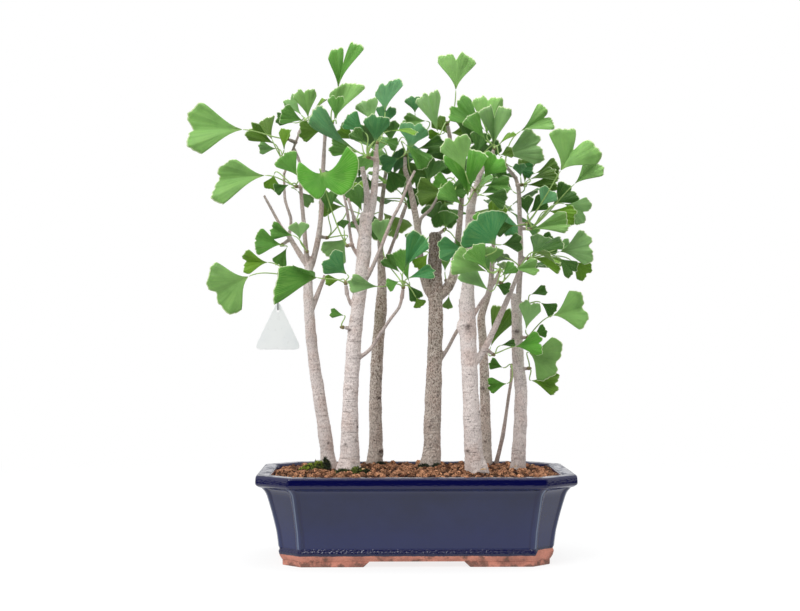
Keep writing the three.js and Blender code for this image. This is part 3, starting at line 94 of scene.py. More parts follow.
# Limbs of each stem, as (x, y, z, radius) points. The first is the trunk, from the soil up.
LIMBS = {
    "a": (
        ((-86.5, 12, 87.3, 8), (-89.6, 12, 115.7, 6.8), (-95.7, 12, 156.2, 6.4),
         (-103.2, 12, 206.8, 5.6), (-106.8, 12, 247.3, 5.2), (-107.8, 12, 270.6, 4.8),
         (-106.8, 12, 292.8, 4.2)),
        ((-106.8, 12, 288.8, 3), (-115.9, 12, 303, 2.8), (-128.2, 14, 323.3, 2.3)),
        ((-127.2, 14, 321.3, 1.7), (-125.1, 13, 338.5, 1.5), (-131.1, 12, 358.7, 1.4),
         (-132.1, 12, 386, 1.2)),
        ((-127.2, 14, 321.3, 1.7), (-136.5, 17, 333.7, 1.5), (-146.8, 20, 352.2, 1.4),
         (-153.1, 22, 363.6, 1.1)),
        ((-106.8, 12, 290.8, 2.6), (-109.7, 10, 307.9, 2.4), (-112.8, 10, 343.3, 2),
         (-114.8, 10, 365.6, 1.8), (-115.7, 8, 393.6, 1.5), (-121.7, 6, 409.6, 1.3)),
        ((-106.8, 12, 286.8, 3.4), (-102.7, 12, 296.9, 3.2), (-97.7, 12, 318.2, 2.8),
         (-94.6, 12, 343.5, 2.5), (-92.6, 12, 389, 2.2), (-90.6, 11, 424.3, 1.7)),
        ((-104.8, 12, 244.3, 2.6), (-96.9, 18, 266.7, 2.4), (-90.9, 22, 282.1, 1.8)),
        ((-132.1, 12, 384, 1.2), (-124.7, 6, 403.5, 1.2), (-116.4, 1, 424, 1.2)),
    ),
    "b": (
        ((-65.7, -23, 87.4, 11.6), (-64.8, -23, 108.2, 9.2), (-64.3, -23, 157.7, 7.7),
         (-61.3, -23, 207.2, 7.2), (-58.3, -23, 236.9, 6.6), (-54.9, -23, 266.5, 6.6),
         (-50.9, -23, 306.1, 7), (-48.9, -23, 338.8, 6)),
        ((-49.9, -23, 323.9, 4.2), (-43, -21, 348.8, 3.9), (-39, -18, 385.8, 3.2),
         (-39, -16, 402.9, 2.4)),
        ((-49.9, -23, 326.9, 3.6), (-47.9, -26, 360.3, 3), (-52.8, -28, 387.7, 2.2)),
        ((-53.9, -23, 295.2, 1.8), (-62.8, -23, 311.1, 1.6), (-67.8, -20, 346, 1.4),
         (-71.8, -18, 363, 1.2)),
        ((-52.9, -23, 317, 1.7), (-58.8, -22, 330.9, 1.5), (-67, -6, 358.1, 1.2)),
        ((-57.8, -23, 197.3, 2), (-45, -25, 207.2, 1.8), (-35.1, -26, 222, 1.7),
         (-25.2, -27, 236.8, 1.6), (-16.3, -27, 248.7, 1.5), (-13.4, -26, 258.6, 1.5)),
        ((-51.9, -23, 273.5, 2.2), (-46, -26, 281.3, 2), (-35.1, -30, 305.7, 1.8),
         (-23.3, -30, 335.3, 1.6), (-15.4, -28, 350.2, 1.5), (-7.4, -26, 370.2, 1.4),
         (-0.5, -24, 384.2, 1.2)),
        ((-57.8, -23, 249.7, 1.8), (-63.8, -24, 251.7, 1.6), (-67.7, -25, 262.5, 1.5)),
    ),
    "c": (
        ((-39.9, 58, 88, 8.2), (-38.9, 58, 112.5, 7), (-39.4, 58, 154.2, 6.5), (-37.3, 58, 206.3, 6.2),
         (-33.7, 58, 248, 6), (-32.6, 58, 272, 4.8), (-33.7, 58, 303.2, 3.6)),
        ((-33.7, 58, 299.1, 3.2), (-34.7, 60, 336.7, 2.6), (-30.5, 62, 378.7, 2),
         (-28.4, 62, 392.3, 1.8)),
        ((-32.6, 58, 288.7, 2), (-27.4, 58, 301.2, 1.8), (-18, 58, 326.2, 1.6), (-11.8, 58, 344.9, 1.5)),
    ),
    "d": (
        ((17.6, 35, 87.9, 10), (18.6, 35, 108.9, 9), (19.6, 35, 155.2, 8.4), (21.7, 35, 206.5, 7.6),
         (22.7, 35, 237.4, 7.4), (21.7, 35, 281.5, 7.2), (21.7, 35, 322.6, 6.6)),
        ((20.7, 35, 258.9, 4.2), (13.4, 33, 269.2, 4), (7.2, 30, 291.6, 3.6), (4.1, 29, 327.4, 3.4),
         (-2.1, 28, 363.1, 3), (-9.3, 27, 391.6, 2.4)),
        ((23.8, 35, 258.9, 5), (34.2, 38, 269.3, 5.2), (40.5, 40, 281.7, 4.6), (43.6, 41, 302.4, 3.8),
         (46.7, 42, 328.2, 3.2), (49.8, 42, 371.6, 2.4), (43.3, 36, 399.8, 1.8), (37, 32, 425, 1.6)),
        ((23.8, 35, 191.1, 2.2), (34.1, 36, 206.5, 1.9), (42.4, 37, 222, 1.8), (47.6, 38, 230.2, 1.6)),
        ((4.1, 29, 324.3, 1.8), (7.2, 32, 340.9, 1.6), (17.6, 35, 351.4, 1.5), (27, 38, 368.1, 1.4)),
    ),
    "e": (
        ((60.3, -32, 86.8, 10.8), (56.9, -32, 108.9, 9), (54.4, -32, 158.1, 8), (52.4, -32, 197.4, 7.8),
         (51.5, -32, 226.9, 8.2), (50.5, -32, 249.6, 7.6), (51.5, -32, 273.2, 5.8),
         (52.4, -32, 305.6, 5.2), (54.4, -32, 345, 4.4), (58.3, -32, 365.6, 3.6)),
        ((50.5, -32, 239.7, 5), (46.5, -32, 229.9, 6), (50.5, -32, 218.1, 5)),
        ((57.4, -32, 359.7, 3), (64.3, -31, 381.5, 2.4), (74.2, -30, 396.4, 1.8)),
        ((52.4, -32, 186.6, 3.8), (64.5, -29, 202.3, 3.4), (73.5, -27, 218.1, 3.1),
         (83.4, -26, 239.8, 2.8), (91.4, -25, 257.6, 2.5), (100.4, -24, 278.4, 2.1)),
        ((52.4, -32, 231.9, 2), (63, -36, 251.5, 1.7), (69.6, -39, 261.2, 1.6), (78.2, -42, 274.8, 1.5)),
    ),
    "f": (
        ((75.6, 55, 88.8, 6.4), (75, 55, 133.5, 5.4), (74, 55, 175.1, 4.8), (72.4, 55, 216.7, 4.4),
         (70.9, 55, 240.7, 4), (79.8, 56, 269.8, 3), (83.1, 58, 303.2, 2.2), (84.3, 60, 330.5, 1.8)),
    ),
    "g": (
        ((86.9, 66, 86.8, 2.4), (91, 66, 103.5, 2.2), (94.1, 65, 117.2, 2.3), (97.2, 64, 138.2, 1.8),
         (100.2, 63, 159.2, 1.7), (103.3, 62, 179.1, 1.5)),
    ),
    "h": (
        ((105.1, 15, 87.1, 7.6), (106.1, 15, 105.3, 7), (107.6, 15, 135.8, 6.5),
         (108.1, 15, 166.2, 6.3), (105.1, 15, 196.6, 6), (104.1, 15, 237.2, 5.4), (103.1, 15, 260.5, 5)),
        ((105.1, 15, 248.4, 2.9), (108.1, 15, 303.1, 2.6), (107.1, 15, 343.7, 2.3), (106, 14, 369, 2.1),
         (102.8, 12, 380.9, 1.8)),
    ),
}

# Scars and knots on the stems: stem, x, z, size. They lie on the front of the wood.
KNOTS = (
    ("e", 41.5, 253, 3.2), ("e", 51.5, 229, 4.0), ("e", 51, 108, 2.2), ("e", 62, 146, 1.2),
    ("h", 103.5, 225, 3.0), ("h", 100, 217, 1.6), ("f", 72, 166, 2.2), ("f", 74, 111, 1.6),
    ("b", -65, 226, 2.4), ("b", -57, 131, 1.7), ("b", -59, 118, 1.5), ("b", -69, 114, 1.5),
    ("c", -36, 156, 2.0), ("c", -34, 100, 3.2), ("c", -34, 176, 1.2), ("a", -87, 113, 1.6),
    ("d", 24, 160, 1.2), ("d", 16, 128, 1.3), ("d", 27, 205, 1.4), ("d", 15, 226, 1.5),
)

# Trunks and their bark.
TRUNK_RADIUS = 5  # from which wood counts as a trunk
TWIG_RADIUS, TWIG_BLEND = 4.4, 2.2  # under which wood takes the twigs' colour, and over how much
SPUR_RADII = (2.1, 1.7)  # at its root and at its tip
LIMB_SIDES = 20
PALE_STEMS = "abeh"
# Painted shade under the crown: the top of a trunk is painted dark between these heights.
CROWN_SHADE_HEIGHTS = {"d": (258, 292)}  # heights, mm, between which a trunk turns dark towards its cut
BARK_LIGHTNESS = {"a": 0.92, "d": 1.12, "f": 1.05}  # of the stems that differ from the rest
# The bark's lumps, so far apart, and its rings and grain, as changes to a mm along x, y and z.
LUMPS_APART, RING_NOISE, GRAIN_NOISE = 14, (0.12, 0.12, 0.55), (0.3, 0.3, 0.6)
# Root flare: its share of the foot's radius, its start under the soil, its height and its ribs.
ROOT_FLARE, ROOT_START, ROOT_HEIGHT, ROOT_RIBS = 0.11, 2, 20, 5
# Heights, m, over which brown bark is washed pale and all bark turns earthy.
WASHED_LINE, EARTHY_LINE = (0.185, 0.115), (0.104, 0.088)

# -------------------- leaves, mm

# Shape of a blade, as shares of its length: how its sides curve in, its corners round off,
# its margin and surface wave, and its end droops.
WAIST, ROUND, CORNER_FROM, CORNER_DROP, CLEFT_WIDTH = 0.65, 0.05, 0.7, 0.09, 0.13
MARGIN_WAVE, MARGIN_WAVES, SURFACE_WAVE, SURFACE_WAVES, DROOP = 0.03, 7.0, 0.07, 4.5, 0.16
# The margin's lobes, small lobes and teeth: how close they follow each other, and how deep they are.
LOBES, SMALL_LOBES, TEETH = 6.5, 15, 41
LOBE_DEPTH, TOOTH_DEPTH = 0.034, 0.006
SMALL_BLADE = 20.0  # length under which a blade has fewer faces
BUD_LENGTH, STALKS_FROM, STALKS_TO, STALK_BEND = 5.0, 0.35, 0.85, 0.35
BUD_SHAPE = ((0, 1.3), (0.12, 1.8), (0.35, 2.0), (0.6, 1.7), (0.8, 1.3), (0.93, 0.8), (1, 0.3))
STALK_STEPS, STALK_SIDES, BUD_SIDES = 12, 7, 10
BLADE_LOOK, STALK_LOOK, BUD_LOOK = 0, 1, 2  # places of the finishes on a spray

# The tints paint light and shade: B, M and D are leaves in full light, half light and shade, O and o
# have painted light through them, and T and U are partly a painted sheen.
# Each spray is the root and the tip of its spur, then its leaves:
# x, y, z    where the blade meets its stalk
# heading    direction of the blade's middle in the elevation, degrees from +X
# lean       tilt of the blade's middle towards the front, degrees
# roll       turn about the blade's middle, degrees
# length     from the stalk to the margin
# spread     half the fan's opening, degrees
# notch      depth of the cleft as a share of the length
# fold       rise of both halves along the middle line
# skew       what the right half is longer than the left, as a share
# phase      start of the margin's wave, radians
# tint       B bright, L light, P pale, M middle, T teal, U bluish, D dark, O olive, o dark olive
# A row may leave out spread, notch, fold and skew, which are then those of CROWN_BLADE.
CROWN_BLADE = (42, 0.1, 0.12, 0)
SPRAYS = {
    "b1": ((-62.8, -23, 311.1), (-66.6, -32, 309.6), (
        (-92.1, -50, 379.5, 289, 20, 17, 32, 116, 0.48, 0.68, -0.16, 0.54, "B"),
        (-70.6, -30, 325.4, 100, 0, 0, 10, 45, 0, 0.1, 0, 1.8, "D"),
    )),
    "e1": ((57.8, -32, 362.6), (57.6, -43, 362.7), (
        (49.6, -62, 355.1, 95, 8, 0, 47, 31, 0.55, 0.4, 0, 0.95, "B"),
        (44.8, -94, 376.8, 110, 8, 0, 34, 33, 0.1, 0.1, 0, 3.5, "L"),
        (65, -62, 373.4, 55, 5, 0, 26, 40, 0.1, 0.1, 0, 5.72, "B"),
        (66.1, -61, 365.8, 5, 0, 15, 25, 28, 0.05, 0.1, 0, 5.4, "M"),
        (65.1, -74, 355, 350, 0, 0, 22, 32, 0.05, 0.1, 0, 2.42, "D"),
        (44.3, -54, 348.1, 140, 0, 0, 27, 27, 0.05, 0.1, 0, 2.14, "M"),
        (68.2, 10, 364.5, 26, 0, 0, 24, 26, 0.05, 0.1, 0, 1.56, "D"),
    )),
    "e2": ((52.1, -32, 294.3), (57.3, -47, 294.1), (
        (76.5, -63, 307.8, 127, 10, 0, 35, 58, 0.15, 0.15, 0, 1.36, "T"),
        (47.1, -55, 305.4, 182, 5, 0, 26, 34, 0.05, 0.1, 0, 5.2, "T"),
    )),
    "e3": ((78.2, -42, 274.8), (81, -43, 281.6), (
        (67, -74, 282.3, 160, 5, 0, 36, 26, 0.1, 0.1, 0, 1.78, "L"),
        (66.1, -87, 284.6, 125, 0, 0, 26, 32, 0.1, 0.1, 0, 0.89, "M"),
        (73.7, -49, 289.2, 85, 0, 0, 19, 38, 0.1, 0.1, 0, 2.17, "L"),
        (70, -60, 264.5, 141, 5, 10, 33, 22, 0.05, 0.15, 0, 0.99, "P"),
        (93.8, -53, 285.1, 8, 5, 10, 25, 25, 0.1, 0.15, 0, 5.37, "L"),
        (82.2, -64, 278.9, 40, 0, 10, 17, 30, 0.05, 0.1, 0, 3.61, "M"),
        (78.8, -34, 271.1, 340, 0, 0, 15, 32, 0.05, 0.1, 0, 0.15, "D"),
    )),
    "e4": ((74.2, -30, 396.4), (77.2, -30, 404.2), (
        (75.8, -48, 406, 89, 12, 0, 40, 27, 0.35, 0.35, 0, 2.19, "P"),
        (71, -20, 420.3, 88, 0, 0, 40, 27, 0.1, 0.15, 0, 2.59, "L"),
        (70.1, -6, 427.1, 139, -5, 10, 42, 25, 0.1, 0.1, 0, 3.4, "M"),
        (68.9, -36, 413.3, 125, 0, 10, 30, 22, 0.05, 0.1, 0, 1.79, "M"),
        (84, -19, 411.5, 45, 0, 62, 19, 27, 0, 0.1, 0, 3.85, "O"),
        (83.4, -38, 398.4, 20, 0, 10, 13, 36, 0, 0.1, 0, 4.35, "o"),
        (62.5, 0, 402.8, 78, 0, 0, 25, 30, 0.05, 0.1, 0, 2.44, "D"),
    )),
    "b2": ((-67.7, -25, 262.5), (-68.7, -26, 270.4), (
        (-96.8, -40, 277.8, 164, 38, 42, 37, 41, 0.2, 0.57, -0.45, 2.61, "M"),
        (-67.9, -12, 281.8, 140, 0, 10, 27, 40, 0.1, 0.1, 0, 4.29, "T"),
        (-74.8, -14, 276.8, 186, 0, 20, 15, 30, 0, 0.1, 0, 4.63, "O"),
    )),
    "b3": ((-13.4, -26, 258.6), (-12.4, -27, 266.4), (
        (-37.1, -48, 268.8, 172, 15, 35, 29, 24, 0.05, 0.2, 0, 3.02, "P"),
        (-11.6, -38, 284.7, 60, 10, 30, 40, 23, 0.05, 0.3, 0, 5.99, "T"),
        (-15.3, -22, 283.4, 135, 0, 10, 22, 24, 0.1, 0.1, 0, 5.86, "D"),
        (-7.8, -40, 276.8, 17, 10, 40, 27, 22, 0.05, 0.2, 0, 3.38, "T"),
        (-16.7, -48, 273.6, 200, 10, 0, 13, 36, 0, 0.1, 0, 0.8, "M"),
        (-8.2, -14, 272.8, 305, 0, 0, 20, 26, 0.05, 0.1, 0, 5.81, "D"),
        (0.5, -24, 258.6, 300, 0, 0, 11, 45, 0.1, 0.1, 0, 1.03, "O"),
        (-32, -4, 307.2, 95, 0, 0, 31, 25, 0.05, 0.1, 0, 3.93, "P"),
        (-5.8, 2, 275.3, 108, 0, 0, 34, 22, 0.05, 0.1, 0, 1.21, "M"),
    )),
    "b4": ((-39, -16.8, 396.2), (-45, -24, 397.1), (
        (-40, -42, 408.7, 85, 15, 0, 28, 34, 0.05, 0.1, 0, 3.44, "T"),
        (-65.6, -30, 407.2, 139, 10, 56, 50, 28, 0.05, 0.15, 0, 1.69, "U"),
        (-49.9, -18, 422.6, 140, 0, 10, 25, 30, 0.05, 0.1, 0, 1.09, "T"),
        (-58, -4, 417.4, 150, 0, 35, 22, 30, 0.05, 0.1, 0, 4.17, "O"),
        (-48.9, -32, 409.9, 135, 0, 0, 19, 28, 0.05, 0.1, 0, 5.28, "D"),
        (-24.3, -32, 422.7, 3, 0, 68, 26, 25, 0.05, 0.1, 0, 0.55, "O"),
        (-31.1, -14, 416.1, 340, 0, 20, 15, 35, 0.05, 0.1, 0, 3.32, "M"),
        (-27.8, 12, 391.1, 300, 0, 0, 25, 34, 0.05, 0.1, 0, 4.02, "D"),
        (-54, -7, 404, 165, 0, 0, 32, 22, 0.05, 0.1, 0, 4.3, "M"),
    )),
    "b5": ((-39, -16, 402.9), (-38, -12, 411.4), (
        (-30, -12, 444.3, 89, 0, 8, 31, 33, 0.1, 0.1, 0.26, 3.85, "U"),
        (-32, -2, 428.7, 80, -5, 0, 25, 30, 0.2, 0.1, 0, 3.39, "T"),
        (-41, 6, 434.8, 110, -8, 0, 28, 30, 0.05, 0.1, 0, 2.32, "P"),
        (-23.8, 6, 415.6, 95, 0, 0, 23, 32, 0.05, 0.1, 0, 4.97, "D"),
    )),
    "b6": ((-61.2, -17.4, 338.7), (-60.9, -12, 335.6), (
        (-53, -2, 345.4, 112, 0, 0, 28, 26, 0.1, 0.1, 0, 4.26, "D"),
        (-56.1, 8, 352.2, 95, 0, 10, 25, 24, 0.05, 0.1, 0, 5.09, "O"),
    )),
    "b7": ((-59.2, -23, 227.9), (-69.7, -24, 228.9), (
        (-70.6, -28, 240.8, 168, 0, 10, 14, 26, 0.05, 0.1, 0, 4.68, "M"),
    )),
    "a1": ((-119.9, 3.1, 415.4), (-126.6, 4, 418.4), (
        (-172.1, -6, 427.1, 178, 0, 0, 57, 32, 0.08, 0.1, 0, 5.09, "L"),
    )),
    "a2": ((-115, 9.6, 371.5), (-118.4, 2, 370.9), (
        (-149.6, -12, 380.5, 183, 0, 0, 50, 32, 0.05, 0.15, -0.22, 5.51, "L"),
        (-142.2, 12, 384, 258, 0, 10, 16, 40, 0.05, 0.1, 0, 4.18, "O"),
        (-116.9, -10, 379.7, 125, 10, 0, 27, 32, 0.1, 0.1, 0, 1.23, "M"),
        (-125.4, -18, 370.9, 203, 0, 20, 16, 28, 0.05, 0.1, 0, 2.15, "D"),
        (-119.2, 18, 368.3, 318, 0, 0, 20, 24, 0.05, 0.1, 0, 3.67, "P"),
    )),
    "a3": ((-107.3, 12, 281), (-116.5, 4, 281.4), (
        (-166.2, -4, 280.1, 207, 0, 0, 42, 51, 0.1, 0.1, 0, 5.92, "L"),
        (-148.3, 12, 294.9, 178, -10, 10, 27, 33, 0.1, 0.2, 0, 5.88, "O"),
    )),
    "a4": ((-90.6, 11, 424.3), (-84.5, 10, 434.3), (
        (-77.3, 6, 471.1, 80, 8, 18, 45, 27, 0.42, 0.3, 0.2, 0.33, "M"),
        (-81, -6, 437.1, 73, 5, -15, 38, 28, 0.05, 0.1, 0.3, 1.58, "L"),
        (-92.9, -9, 426.7, 188, 10, 25, 23, 35, 0.05, 0.1, 0, 3.69, "o"),
        (-78.7, -20, 435.2, 90, 5, 0, 24, 25, 0.1, 0.1, 0, 3.74, "M"),
    )),
    "a5": ((-116.4, 1, 424), (-112.1, -4, 432.4), (
        (-112.6, 7, 437.9, 162, 15, 10, 24, 30, 0.05, 0.15, 0, 0.75, "M"),
        (-107.6, 8, 441.1, 98, 10, -10, 29, 30, 0.1, 0.2, 0, 3.28, "L"),
        (-114.8, 10, 444.4, 128, -15, 20, 25, 26, 0.1, 0.1, 0, 4.92, "P"),
        (-123.6, 24, 438.3, 165, -15, 35, 20, 28, 0.05, 0.1, 0, 4.54, "D"),
        (-103, 18, 447.6, 56, 0, 70, 19, 34, 0, 0.1, 0, 5.1, "O"),
    )),
    "a6": ((-128.5, 9.1, 393.4), (-132.2, 14, 396.3), (
        (-144.6, 17, 420, 112, -20, 20, 27, 32, 0.05, 0.2, 0, 1.16, "o"),
        (-142, 8, 414.9, 150, 10, 30, 30, 27, 0.1, 0.2, 0, 4.98, "o"),
        (-141.2, 28, 412.2, 178, 0, 30, 18, 28, 0, 0.1, 0, 0.15, "P"),
        (-131.2, -3, 407.5, 80, 10, 45, 21, 32, 0, 0.3, 0, 5.33, "O"),
    )),
    "a7": ((-125.5, 13.6, 318.9), (-132.4, 17, 314.4), (
        (-133.5, 2, 312.5, 173, 10, 10, 28, 33, 0.1, 0.2, 0, 1.58, "M"),
        (-130, 28, 311, 243, 0, 0, 21, 26, 0.1, 0.1, 0, 0.68, "M"),
    )),
    "a8": ((-109.5, 10.2, 306.3), (-108.4, 2, 305.5), (
        (-114.9, -10, 316.8, 95, 10, 0, 18, 42, 0.2, 0.15, 0, 1.99, "P"),
        (-122.5, 3, 321.6, 166, 0, 25, 24, 28, 0.1, 0.1, 0, 2.37, "M"),
    )),
    "a9": ((-97.3, 12, 321.3), (-90.8, 18, 320.6), (
        (-87.2, -1, 343.5, 90, 0, 0, 24, 28, 0.1, 0.15, 0, 2.41, "D"),
        (-68.5, 24, 320.9, 228, -10, 0, 30, 38, 0.05, 0.1, 0, 4.07, "P"),
        (-72.7, 30, 353.1, 184, 0, 0, 25, 26, 0.05, 0.1, 0, 3.84, "o"),
    )),
    "h1": ((107.4, 15, 333.8), (112.3, 6, 333.9), (
        (145.1, -14, 385.3, 59, 5, 0, 44, 49, 0.42, 0.2, 0, 2.82, "L"),
        (115.9, -18, 326.3, 14, 5, 25, 38, 22, 0.05, 0.15, 0, 5.77, "L"),
        (125.5, -2, 350.4, 55, 0, 0, 22, 36, 0.05, 0.1, 0, 5.06, "U"),
        (100.6, 0, 331.5, 186, 0, 0, 21, 32, 0.05, 0.1, 0, 2.52, "D"),
    )),
    "h2": ((102.8, 12, 380.9), (93, 4, 391.2), (
        (87.4, -14, 400.2, 18, 5, 0, 41, 32, 0.1, 0.15, 0, 3.23, "P"),
        (107.1, 4, 427.5, 30, 0, 0, 36, 28, 0.25, 0.2, 0, 1.47, "L"),
        (100.3, 18, 392.7, 350, 0, 10, 22, 26, 0.05, 0.1, 0, 0.29, "T"),
    )),
    "h3": ((107.9, 15, 299.5), (114.3, 16, 299.1), (
        (145.4, -4, 305.2, 10, 5, 0, 34, 38, 0.1, 0.15, 0, 3.65, "P"),
        (142.2, -14, 298.7, 320, 5, 10, 23, 30, 0.1, 0.1, 0, 3.17, "D"),
        (117.6, -11, 298.8, 345, 0, 25, 31, 22, 0.1, 0.1, 0, 1.52, "O"),
        (158.9, 8, 296.7, 320, 0, 0, 23, 34, 0.1, 0.1, 0, 4.11, "O"),
        (121.9, 30, 307, 25, 0, 0, 27, 32, 0.05, 0.1, 0, 0.45, "D"),
        (144.5, 22, 308.6, 22, 0, 0, 17, 30, 0.05, 0.1, 0, 5.56, "P"),
    )),
    "h4": ((107.5, 15, 329.8), (117.1, 23, 330), (
        (135.7, 8, 347.2, 350, 0, 10, 29, 26, 0.05, 0.1, 0, 4.06, "O"),
        (153.3, 19, 355.2, 338, -5, 0, 28, 40, 0.2, 0.1, 0, 4.87, "P"),
        (142.5, 31, 355.2, 40, 0, 10, 28, 36, 0.1, 0.1, 0, 2.75, "D"),
        (163.6, 20, 375.6, 42, 0, 0, 35, 26, 0.05, 0.1, 0, 4.9, "L"),
        (116.7, 30, 344.9, 100, 0, 0, 20, 32, 0.1, 0.1, 0, 4.93, "D"),
        (120.2, 44, 348, 40, 0, 0, 22, 30, 0.1, 0.1, 0, 0.29, "D"),
    )),
    "h5": ((104.7, 13.2, 373.6), (107.4, 8, 373.5), (
        (105.9, -8, 379.9, 95, 0, 0, 14, 36, 0.1, 0.1, 0, 4.48, "U"),
        (113.7, 30, 377.6, 85, 0, 10, 26, 24, 0.05, 0.1, 0, 0.57, "o"),
        (118.1, 13, 380, 18, 0, 35, 28, 24, 0.05, 0.1, 0, 3.98, "o"),
        (101.3, 29, 369.3, 128, 0, 20, 27, 20, 0.05, 0.1, 0, 5.7, "D"),
        (116.9, 42, 376.7, 5, 0, 0, 33, 18, 0.05, 0.1, 0, 3.4, "o"),
        (127.7, 56, 390.6, 16, 0, 0, 26, 28, 0.05, 0.1, 0, 1.03, "o"),
    )),
    "h6": ((105.4, 15, 253.8), (112.1, 14, 253.4), (
        (117.3, 6, 262.3, 20, 0, 10, 17, 24, 0, 0.1, 0, 4.89, "D"),
        (127.3, 5, 254.2, 328, 0, 0, 18, 30, 0.05, 0.1, 0, 2.27, "D"),
    )),
    "h7": ((104.5, 15, 218.7), (112.7, 10, 219), (
        (138.7, -1, 241.1, 14, 0, 0, 36, 42, 0.1, 0.1, 0, 5.3, "L"),
        (111, -7, 227, 78, 0, 0, 29, 28, 0.1, 0.1, 0, 3.96, "P"),
        (121.9, 21, 222, 20, 0, 0, 14, 36, 0.05, 0.1, 0, 0.44, "M"),
    )),
    "h8": ((106.1, 15, 186.8), (113.7, 10, 187.6), (
        (114.7, 0, 203.9, 340, 0, 0, 34, 54, 0.1, 0.2, 0, 5.72, "L"),
        (117.6, 9, 175.5, 352, 0, 0, 29, 29, 0.1, 0.15, 0, 5.66, "O"),
    )),
    "d1": ((-9.3, 27, 391.6), (-9.3, 26, 403.8), (
        (-4.8, 1, 409, 78, 10, 0, 27, 42, 0.1, 0.1, 0, 0.13, "U"),
        (-10, -7, 413, 317, 10, 10, 32, 22, 0.05, 0.1, 0, 1.36, "M"),
        (3.7, 18, 411, 15, 0, 20, 28, 24, 0.05, 0.1, 0, 2.9, "D"),
        (0.8, 22, 448.2, 92, 0, 0, 18, 42, 0.08, 0.15, 0, 2.88, "T"),
        (3.3, 40, 436.3, 150, 0, 20, 16, 40, 0.1, 0.1, 0, 3.32, "P"),
        (-2, 32, 387.1, 320, 0, 0, 21, 36, 0.1, 0.1, 0, 3.96, "D"),
        (-14.9, -2, 399.6, 202, 0, 0, 21, 34, 0.05, 0.1, 0, 3.49, "T"),
        (11.6, 10, 438.4, 178, 0, 0, 22, 26, 0.05, 0.1, 0, 5.95, "L"),
        (8.5, 40, 405.4, 24, 0, 0, 26, 32, 0.05, 0.1, 0, 3.21, "D"),
    )),
    "d2": ((37, 32, 425), (34.8, 30, 436), (
        (42.8, 26, 472.2, 88, 0, 0, 40, 35, 0.2, 0.1, 0, 0.55, "L"),
        (23.5, 4, 426.4, 106, 0, 15, 42, 21, 0.05, 0.2, 0, 3.06, "P"),
        (41.3, 18, 439.5, 335, 0, 10, 28, 38, 0.1, 0.1, 0, 4.12, "D"),
        (29.5, 48, 430.2, 190, 0, 30, 14, 34, 0, 0.1, 0, 3.68, "O"),
        (38.7, 46, 430.9, 6, 0, 0, 27, 34, 0.1, 0.1, 0, 1.79, "o"),
        (35.9, 52, 430.7, 128, 0, 0, 21, 30, 0.05, 0.1, 0, 4.7, "o"),
    )),
    "d3": ((27, 38, 368.1), (30.1, 40, 375.5), (
        (39.1, 14, 373, 160, 0, 0, 21, 30, 0.1, 0.1, 0, 0.96, "B"),
        (13.1, 24, 377, 70, -10, 10, 30, 34, 0.1, 0.1, 0, 4.76, "D"),
        (15.9, 45, 370.8, 200, -10, 10, 28, 34, 0.1, 0.1, 0, 5.35, "D"),
        (31.1, 16, 358, 268, 0, 10, 28, 36, 0.1, 0.1, 0, 4.47, "D"),
        (43.4, 56, 386.4, 60, -20, 0, 28, 34, 0.1, 0.1, 0, 0.27, "D"),
        (31.2, -2, 366.5, 8, 0, 0, 21, 34, 0.1, 0.1, 0, 5.43, "D"),
        (30.7, -14, 363.4, 177, 0, 0, 30, 33, 0.1, 0.1, 0, 2.08, "o"),
        (39.2, 56, 359.4, 172, 0, 0, 27, 26, 0.1, 0.1, 0, 0.14, "o"),
        (18.3, 53, 392.4, 18, 0, 0, 21, 30, 0.1, 0.1, 0, 3.39, "D"),
    )),
    "d4": ((6, 29.6, 305.2), (0.8, 22, 304.5), (
        (-1.7, 5, 308.7, 95, 0, 0, 17, 28, 0, 0.1, 0, 1.38, "D"),
        (13.7, 12, 304, 232, 0, 0, 19, 32, 0.05, 0.1, 0, 0.46, "O"),
    )),
    "d5": ((21.7, 35, 322.6), (29.6, 28, 328.3), (
        (30.5, 4, 328.7, 75, 0, 0, 19, 38, 0.1, 0.1, 0, 1.79, "D"),
        (41.6, 22, 319.8, 300, 0, 10, 22, 32, 0.1, 0.1, 0, 2.16, "D"),
        (23.9, 39, 337.3, 110, -20, 10, 24, 34, 0.1, 0.1, 0, 1.81, "D"),
    )),
    "d6": ((38.3, 39.3, 277.4), (34.7, 48, 277.9), (
        (36.9, 52, 262.4, 262, 0, 0, 14, 28, 0.05, 0.1, 0, 2.2, "L"),
        (33.3, 64, 287.8, 88, 0, 0, 16, 24, 0.05, 0.1, 0, 3.86, "L"),
    )),
    "e5": ((52.9, -32, 314.7), (63.8, -38, 314.1), (
        (65.8, -51, 323.1, 100, 0, 0, 19, 32, 0.1, 0.1, 0, 2.62, "B"),
        (74.7, -24, 328.8, 70, 0, 0, 26, 28, 0.1, 0.1, 0, 5.55, "O"),
        (85.2, -28, 310.8, 8, 0, 0, 21, 33, 0.1, 0.1, 0, 4.27, "D"),
    )),
    "e6": ((68.1, -28.2, 208.7), (76, -20, 203.2), (
        (99.5, -12, 210, 8, 5, 0, 28, 31, 0.1, 0.15, 0, 3.03, "B"),
        (78.9, 31, 209.7, 68, 0, 10, 44, 23, 0.1, 0.1, 0, 1.25, "o"),
        (86.3, -4, 211, 12, 0, 40, 15, 24, 0, 0.1, 0, 5.5, "D"),
    )),
    "g1": ((103.3, 62, 179.1), (103.3, 62, 186.4), (
        (96.2, 41, 171.4, 188, 0, 10, 20, 30, 0.1, 0.1, 0, 3.45, "B"),
        (94.7, 72, 187.2, 160, 0, 10, 15, 30, 0.05, 0.1, 0, 2.95, "M"),
    )),
    "e7": ((100.4, -24, 278.4), (102.4, -24, 286.3), (
        (116.1, -16.2, 299.7, 45.5, -21.7, 48.4, 36.3, 0.05, "D"),
